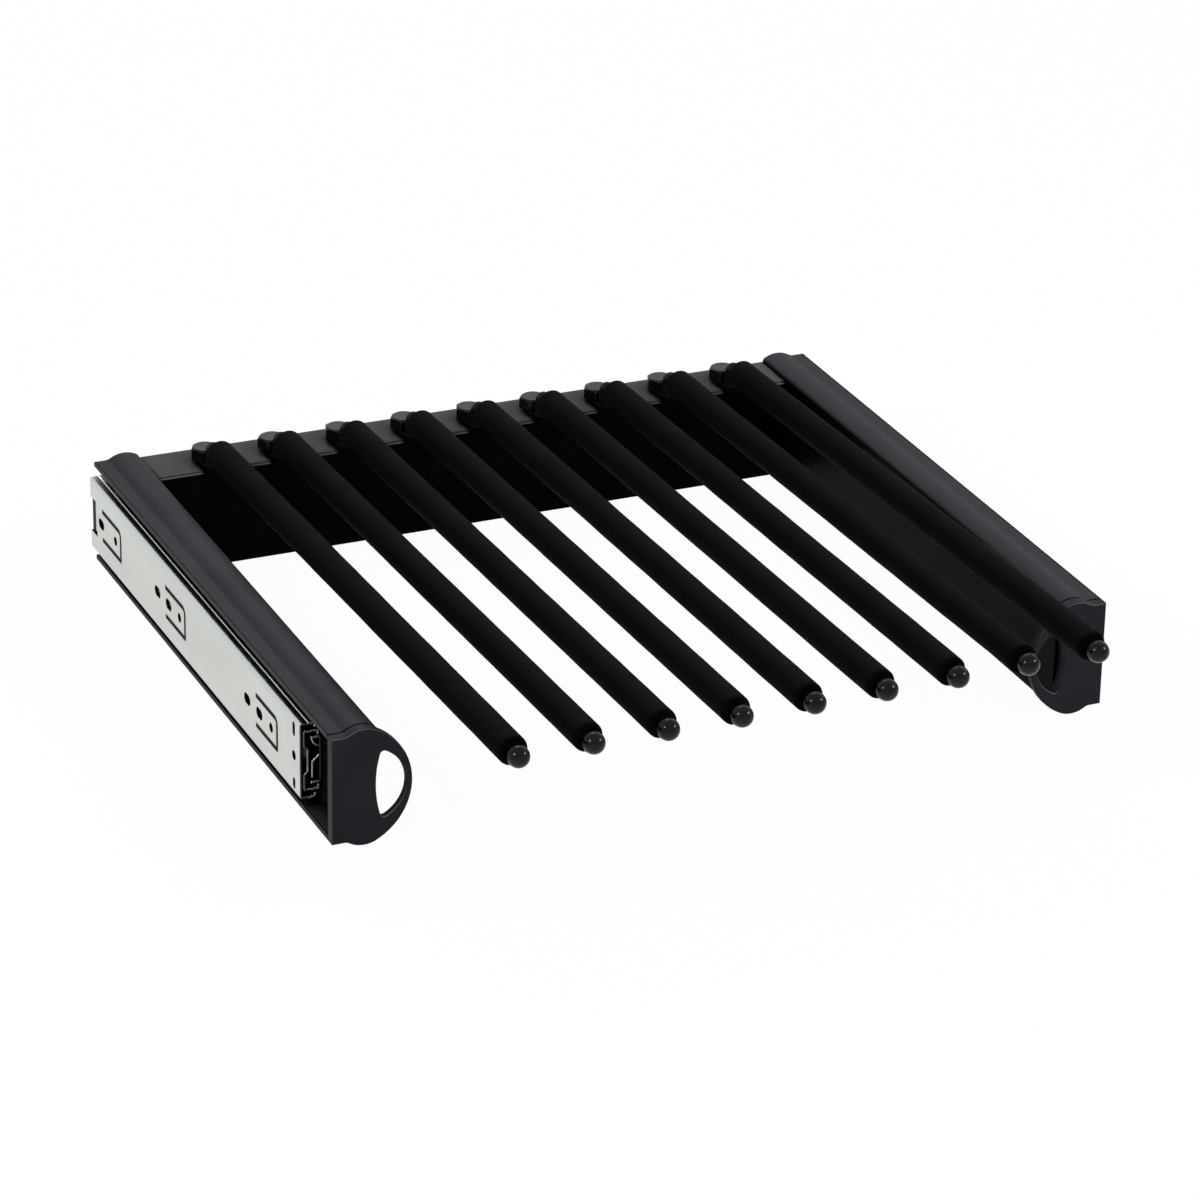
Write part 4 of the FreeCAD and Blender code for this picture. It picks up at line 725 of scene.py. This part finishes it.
# The bolt's edge colour is wear to bare metal and a painted highlight
bolt_steel = metal_with_worn_highlit_edges(
    "bolt_steel", colour=(0.006, 0.008, 0.012), pale=(0.012, 0.016, 0.022),
    edge=(0.042, 0.048, 0.058), roughness=0.30, metallic=0.85, scale=140.0, specular=0.1)
screw_steel = metal_with_worn_highlit_edges(
    "screw_steel", colour=(0.55, 0.55, 0.52), pale=(0.68, 0.68, 0.65),
    edge=(0.75, 0.75, 0.73), roughness=0.32)
ball_steel = metal_with_worn_highlit_edges(
    "ball_steel", colour=(0.60, 0.60, 0.60), pale=(0.72, 0.72, 0.71),
    edge=(0.75, 0.75, 0.75), roughness=0.12)
print("small metal parts made")

# %% [markdown]
# ## Foam
# The sleeves are closed-cell foam tube with a smooth extruded skin. It is a very dark
# grey that swallows light, with fine pores and faint long streaks from the die. What
# faces up is painted a little paler, as light from above. The skin is matt, so the
# light only lifts it a little.

# %% Foam skin
FOAM_DARK = (0.0010, 0.0009, 0.0014)
FOAM_PALE = (0.0020, 0.0019, 0.0027)
# Painted light on what faces up
FOAM_TOP_LIGHT = (0.0046, 0.0044, 0.0060)
FOAM_LEAN = (0.55, 1.0)
DIE_STRETCH = (1.0, 0.05, 1.0)


def foam_skin(name):
    """Near black: pores from cells, streaks from noise stretched along the tube."""
    material, tree = new_material(name)
    place = stretched_place(tree)
    clouds = noise(tree, place, scale=45.0, detail=4.0)
    streaks = noise(tree, stretched_place(tree, DIE_STRETCH), scale=260.0, detail=3.0)
    tone = math_node(tree, "ADD", spread(tree, clouds, low=0.0, high=0.6),
                     spread(tree, streaks, low=0.0, high=0.4))
    colour = blend_colour(tree, tone, FOAM_DARK, FOAM_PALE)
    # Painted light: what faces up is drawn paler
    foam_top_light = product(tree, facing_up(tree, surface_normal(tree), *FOAM_LEAN),
                   spread(tree, clouds, low=0.7, high=1.0))
    colour = blend_colour(tree, foam_top_light, colour, FOAM_TOP_LIGHT)
    height = math_node(tree, "ADD", cells(tree, place, scale=1300.0), product(tree, clouds, 2.0))
    shader = principled(tree, colour, spread(tree, clouds, low=0.74, high=0.86),
                        bump(tree, height, distance=0.00006), Specular_IOR_Level=0.02)
    close_material(tree, shader)
    return material


foam = foam_skin("foam")
print("foam nodes:", len(foam.node_tree.nodes))

# %% [markdown]
# ## Tip plastic
# The ball tips are moulded in a glossy black plastic, so they mirror the soft boxes as
# two round lights. Their undersides are drawn a little paler, for the light that a
# white floor throws back.

# %% Tip plastic
TIP_BLACK = (0.001, 0.001, 0.001)
TIP_CLOUD = (0.002, 0.002, 0.002)
TIP_UNDER = (0.018, 0.018, 0.022)
TIP_LEAN = (-0.5, 0.35)


def tip_finish(name):
    """Smooth black plastic with a soft ripple, and faint clouds in its gloss."""
    material, tree = new_material(name)
    place = stretched_place(tree)
    ripple = noise(tree, place, scale=220.0, detail=2.0)
    clouds = noise(tree, place, scale=70.0, detail=3.0)
    colour = blend_colour(tree, spread(tree, clouds, low=0.0, high=1.0), TIP_BLACK, TIP_CLOUD)
    upper = facing_up(tree, surface_normal(tree), *TIP_LEAN)
    colour = blend_colour(tree, upper, TIP_UNDER, colour)
    shader = principled(tree, colour, spread(tree, clouds, low=0.12, high=0.16),
                        bump(tree, ripple, distance=0.00003), Specular_IOR_Level=0.15)
    close_material(tree, shader)
    return material


tip_plastic = tip_finish("tip_plastic")
print("tip plastic nodes:", len(tip_plastic.node_tree.nodes))

# %% [markdown]
# ## One finish for each CAD node
# The record names a material slot for every node. A dictionary from slot to material
# dresses all the nodes in one short loop, and no node can be forgotten.

# %% Dress the nodes
FINISHES = {
    "zinc_steel": zinc_steel, "cage_steel": cage_steel, "ball_steel": ball_steel,
    "screw_steel": screw_steel, "black_plastic": lever_plastic, "black_cap": cap_plastic,
    "black_coated_profile": casing_coat, "black_coated_rail": rail_coat,
    "rod_steel": rod_lacquer, "foam": foam, "tip_plastic": tip_plastic,
    "bolt_steel": bolt_steel,
}
slot_of = {part["node"]: part["material_slot"] for part in frame["record"]["subparts"]}


def dress(piece, material):
    """Give the object's own slots a material, which leaves its mesh untouched."""
    if not piece.material_slots:
        piece.data.materials.append(None)
    for place in piece.material_slots:
        place.link = "OBJECT"
        place.material = material


for name, piece in nodes.items():
    dress(piece, FINISHES[slot_of[name]])
print("dressed:", len(nodes))

# %% [markdown]
# ## Surfaces of revolution
# Sleeves and ball tips are round, so both are a profile carried round a leaning axis.
# A Spin or Screw modifier could do it, but as plain numpy arrays the unevenness of the
# foam is one more term in the formula.

# %% Turned surfaces
ROD_TILT = math.radians(1.8)
FORWARD = np.array([0.0, -math.cos(ROD_TILT), math.sin(ROD_TILT)])
SIDEWAYS = np.array([1.0, 0.0, 0.0])
UPRIGHT = np.cross(SIDEWAYS, FORWARD) * -1.0


def grid_faces(rows, columns, close_rows):
    """Quads of a grid that is closed round its columns, and round its rows if asked."""
    row = np.arange(rows if close_rows else rows - 1)[:, None]
    column = np.arange(columns)[None, :]
    here = row * columns + column
    beside = row * columns + (column + 1) % columns
    above = ((row + 1) % rows) * columns + column
    across = ((row + 1) % rows) * columns + (column + 1) % columns
    return np.stack([here, beside, across, above], axis=-1).reshape(-1, 4)


def pole_faces(first_ring, pole, around, flip):
    """Triangles that close a ring, given by its first point's number, onto one pole."""
    column = np.arange(around)
    here, beside = first_ring + column, first_ring + (column + 1) % around
    pair = (here, beside) if flip else (beside, here)
    return np.stack([*pair, np.full(around, pole)], axis=1)


def turned_mesh(name, centre, along, radius, poles=None):
    """Point(i, j) = centre + along[i] forward + radius[i, j] (cos j right + sin j up).

    Without poles the rows close into a ring; with two poles each end closes onto one.
    """
    around = radius.shape[1]
    angle = np.linspace(0.0, 2.0 * math.pi, around, endpoint=False)
    ring = np.cos(angle)[:, None] * SIDEWAYS + np.sin(angle)[:, None] * UPRIGHT
    points = (np.array(centre) + along[:, None, None] * FORWARD
              + radius[:, :, None] * ring[None, :, :]).reshape(-1, 3)
    faces = grid_faces(len(along), around, poles is None).tolist()
    if poles is not None:
        ends = np.array(centre) + np.array(poles)[:, None] * FORWARD
        faces += pole_faces(0, len(points), around, False).tolist()
        faces += pole_faces(len(points) - around, len(points) + 1, around, True).tolist()
        points = np.concatenate([points, ends])
    mesh = bpy.data.meshes.new(name)
    mesh.from_pydata(points.tolist(), [], faces)
    mesh.polygons.foreach_set("use_smooth", np.ones(len(mesh.polygons), bool))
    return mesh


print("forward direction of the rods:", FORWARD.round(4))

# %% [markdown]
# ## Foam sleeves
# A sleeve is a tube of foam that was cut to length and pushed over its rod. Its skin
# swells and narrows by up to a tenth of a millimetre, the cut ends are drawn in round
# the edge, and the bore grips the rod. The profile is one closed loop: out over the
# end, along the skin, in over the other end and back through the bore.

# %% Sleeves
SLEEVE_LENGTH = 0.444
SLEEVE_RADIUS = 0.0084
BORE_RADIUS = 0.00355
END_ROUND = 0.0016
SKIN_WAVE = 0.00004
WAVE_LENGTHS = (0.21, 0.093, 0.041)
SLEEVE_AROUND = 64
ROUND_POINTS, SKIN_POINTS, FACE_POINTS, BORE_POINTS = 7, 150, 5, 20


def sleeve_profile():
    """Closed loop of (along, radius): two quarter rounds joined by the skin and the bore."""
    turn = np.linspace(0.0, math.pi / 2.0, ROUND_POINTS)
    half = SLEEVE_LENGTH / 2.0
    rear = np.stack([-half + END_ROUND * (1.0 - np.cos(turn)),
                     SLEEVE_RADIUS - END_ROUND * (1.0 - np.sin(turn))], axis=1)
    along = np.linspace(-half + END_ROUND, half - END_ROUND, SKIN_POINTS)[1:-1]
    skin = np.stack([along, np.full(along.size, SLEEVE_RADIUS)], axis=1)
    front = rear[::-1] * np.array([-1.0, 1.0])
    face = np.linspace(SLEEVE_RADIUS - END_ROUND, BORE_RADIUS, FACE_POINTS)[1:]
    end = np.stack([np.full(face.size, half), face], axis=1)
    along = np.linspace(half, -half, BORE_POINTS)[1:-1]
    bore = np.stack([along, np.full(along.size, BORE_RADIUS)], axis=1)
    start = end[::-1] * np.array([-1.0, 1.0])
    return np.concatenate([rear, skin, front, end, bore, start])


def sleeve_mesh(name, centre, seed):
    """Radius = profile + wave: slow sine swells whose phase is different on each sleeve."""
    along, radius = sleeve_profile().T[:, :, None]
    random = np.random.default_rng(seed)
    angle = np.linspace(0.0, 2.0 * math.pi, SLEEVE_AROUND, endpoint=False)[None, :]
    wave = np.zeros((along.size, SLEEVE_AROUND))
    for length in WAVE_LENGTHS:
        phase, lean = random.uniform(0.0, 2.0 * math.pi, 2)
        wave += np.sin(2.0 * math.pi * along / length + phase) * np.cos(angle + lean)
    skin = (radius - BORE_RADIUS) / (SLEEVE_RADIUS - BORE_RADIUS)
    return turned_mesh(name, centre, along[:, 0], radius + wave * SKIN_WAVE * skin)


sleeve_centres = []
for number in range(1, 10):
    low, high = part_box(f"sleeve_{number}")
    centre = (np.array(low) + np.array(high)) / 2.0
    sleeve_centres.append(centre)
    name = f"foam_sleeve_{number}"
    sleeve = show_object(name, sleeve_mesh(name, centre, seed=number))
    dress(sleeve, foam)
    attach(sleeve, "carriage")
    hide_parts(f"sleeve_{number}")
print("sleeve faces:", len(sleeve.data.polygons))

# %% [markdown]
# ## Ball tips
# Each ball was moulded in two halves, which leaves a fine raised line round it where
# the halves of the mould met. The rear has a blind bore that takes the rod. The
# profile runs out of the bore and over an arc of a circle to the front pole, and a
# narrow bell curve is added for the line.

# %% Tips
TIP_RADIUS = 0.0061
TIP_AHEAD = 0.007
MOUTH_RADIUS = 0.0036
BORE_DEPTH = 0.0047
LINE_HEIGHT = 0.00008
LINE_WIDTH = 0.00025
MOUTH_LIP = 0.0003
TIP_AROUND = 48
# Rings of points: first and last angle from the rear pole, and how many. The rings
# behind the line begin at the mouth of the bore.
RINGS_BEHIND = (1.45, 20)
RINGS_AT_LINE = (1.47, 1.67, 13)
RINGS_BEFORE = (1.70, math.pi - 0.05, 24)


def tip_mesh(name, centre):
    """Bore, then a circle; the line adds height * exp(-(along / width)^2) to it."""
    mouth = math.asin(MOUTH_RADIUS / TIP_RADIUS)
    turn = np.concatenate([np.linspace(mouth, *RINGS_BEHIND), np.linspace(*RINGS_AT_LINE),
                           np.linspace(*RINGS_BEFORE)])
    arc = -TIP_RADIUS * np.cos(turn)
    swell = LINE_HEIGHT * np.exp(-((arc / LINE_WIDTH) ** 2))
    bore_end = arc[0] + BORE_DEPTH
    bore = np.array([bore_end, bore_end, arc[0] + MOUTH_LIP])
    along = np.concatenate([bore, arc])
    radius = np.concatenate([[MOUTH_RADIUS / 2.0, MOUTH_RADIUS, MOUTH_RADIUS],
                             TIP_RADIUS * np.sin(turn) + swell])
    rings = np.repeat(radius[:, None], TIP_AROUND, axis=1)
    return turned_mesh(name, centre, along, rings, poles=(bore_end, TIP_RADIUS))


for number, centre in enumerate(sleeve_centres, start=1):
    place = centre + FORWARD * (SLEEVE_LENGTH / 2.0 + TIP_AHEAD)
    name = f"ball_tip_{number}"
    tip = show_object(name, tip_mesh(name, place))
    dress(tip, tip_plastic)
    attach(tip, "carriage")
    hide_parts(f"tip_{number}")
print("tip faces:", len(tip.data.polygons))
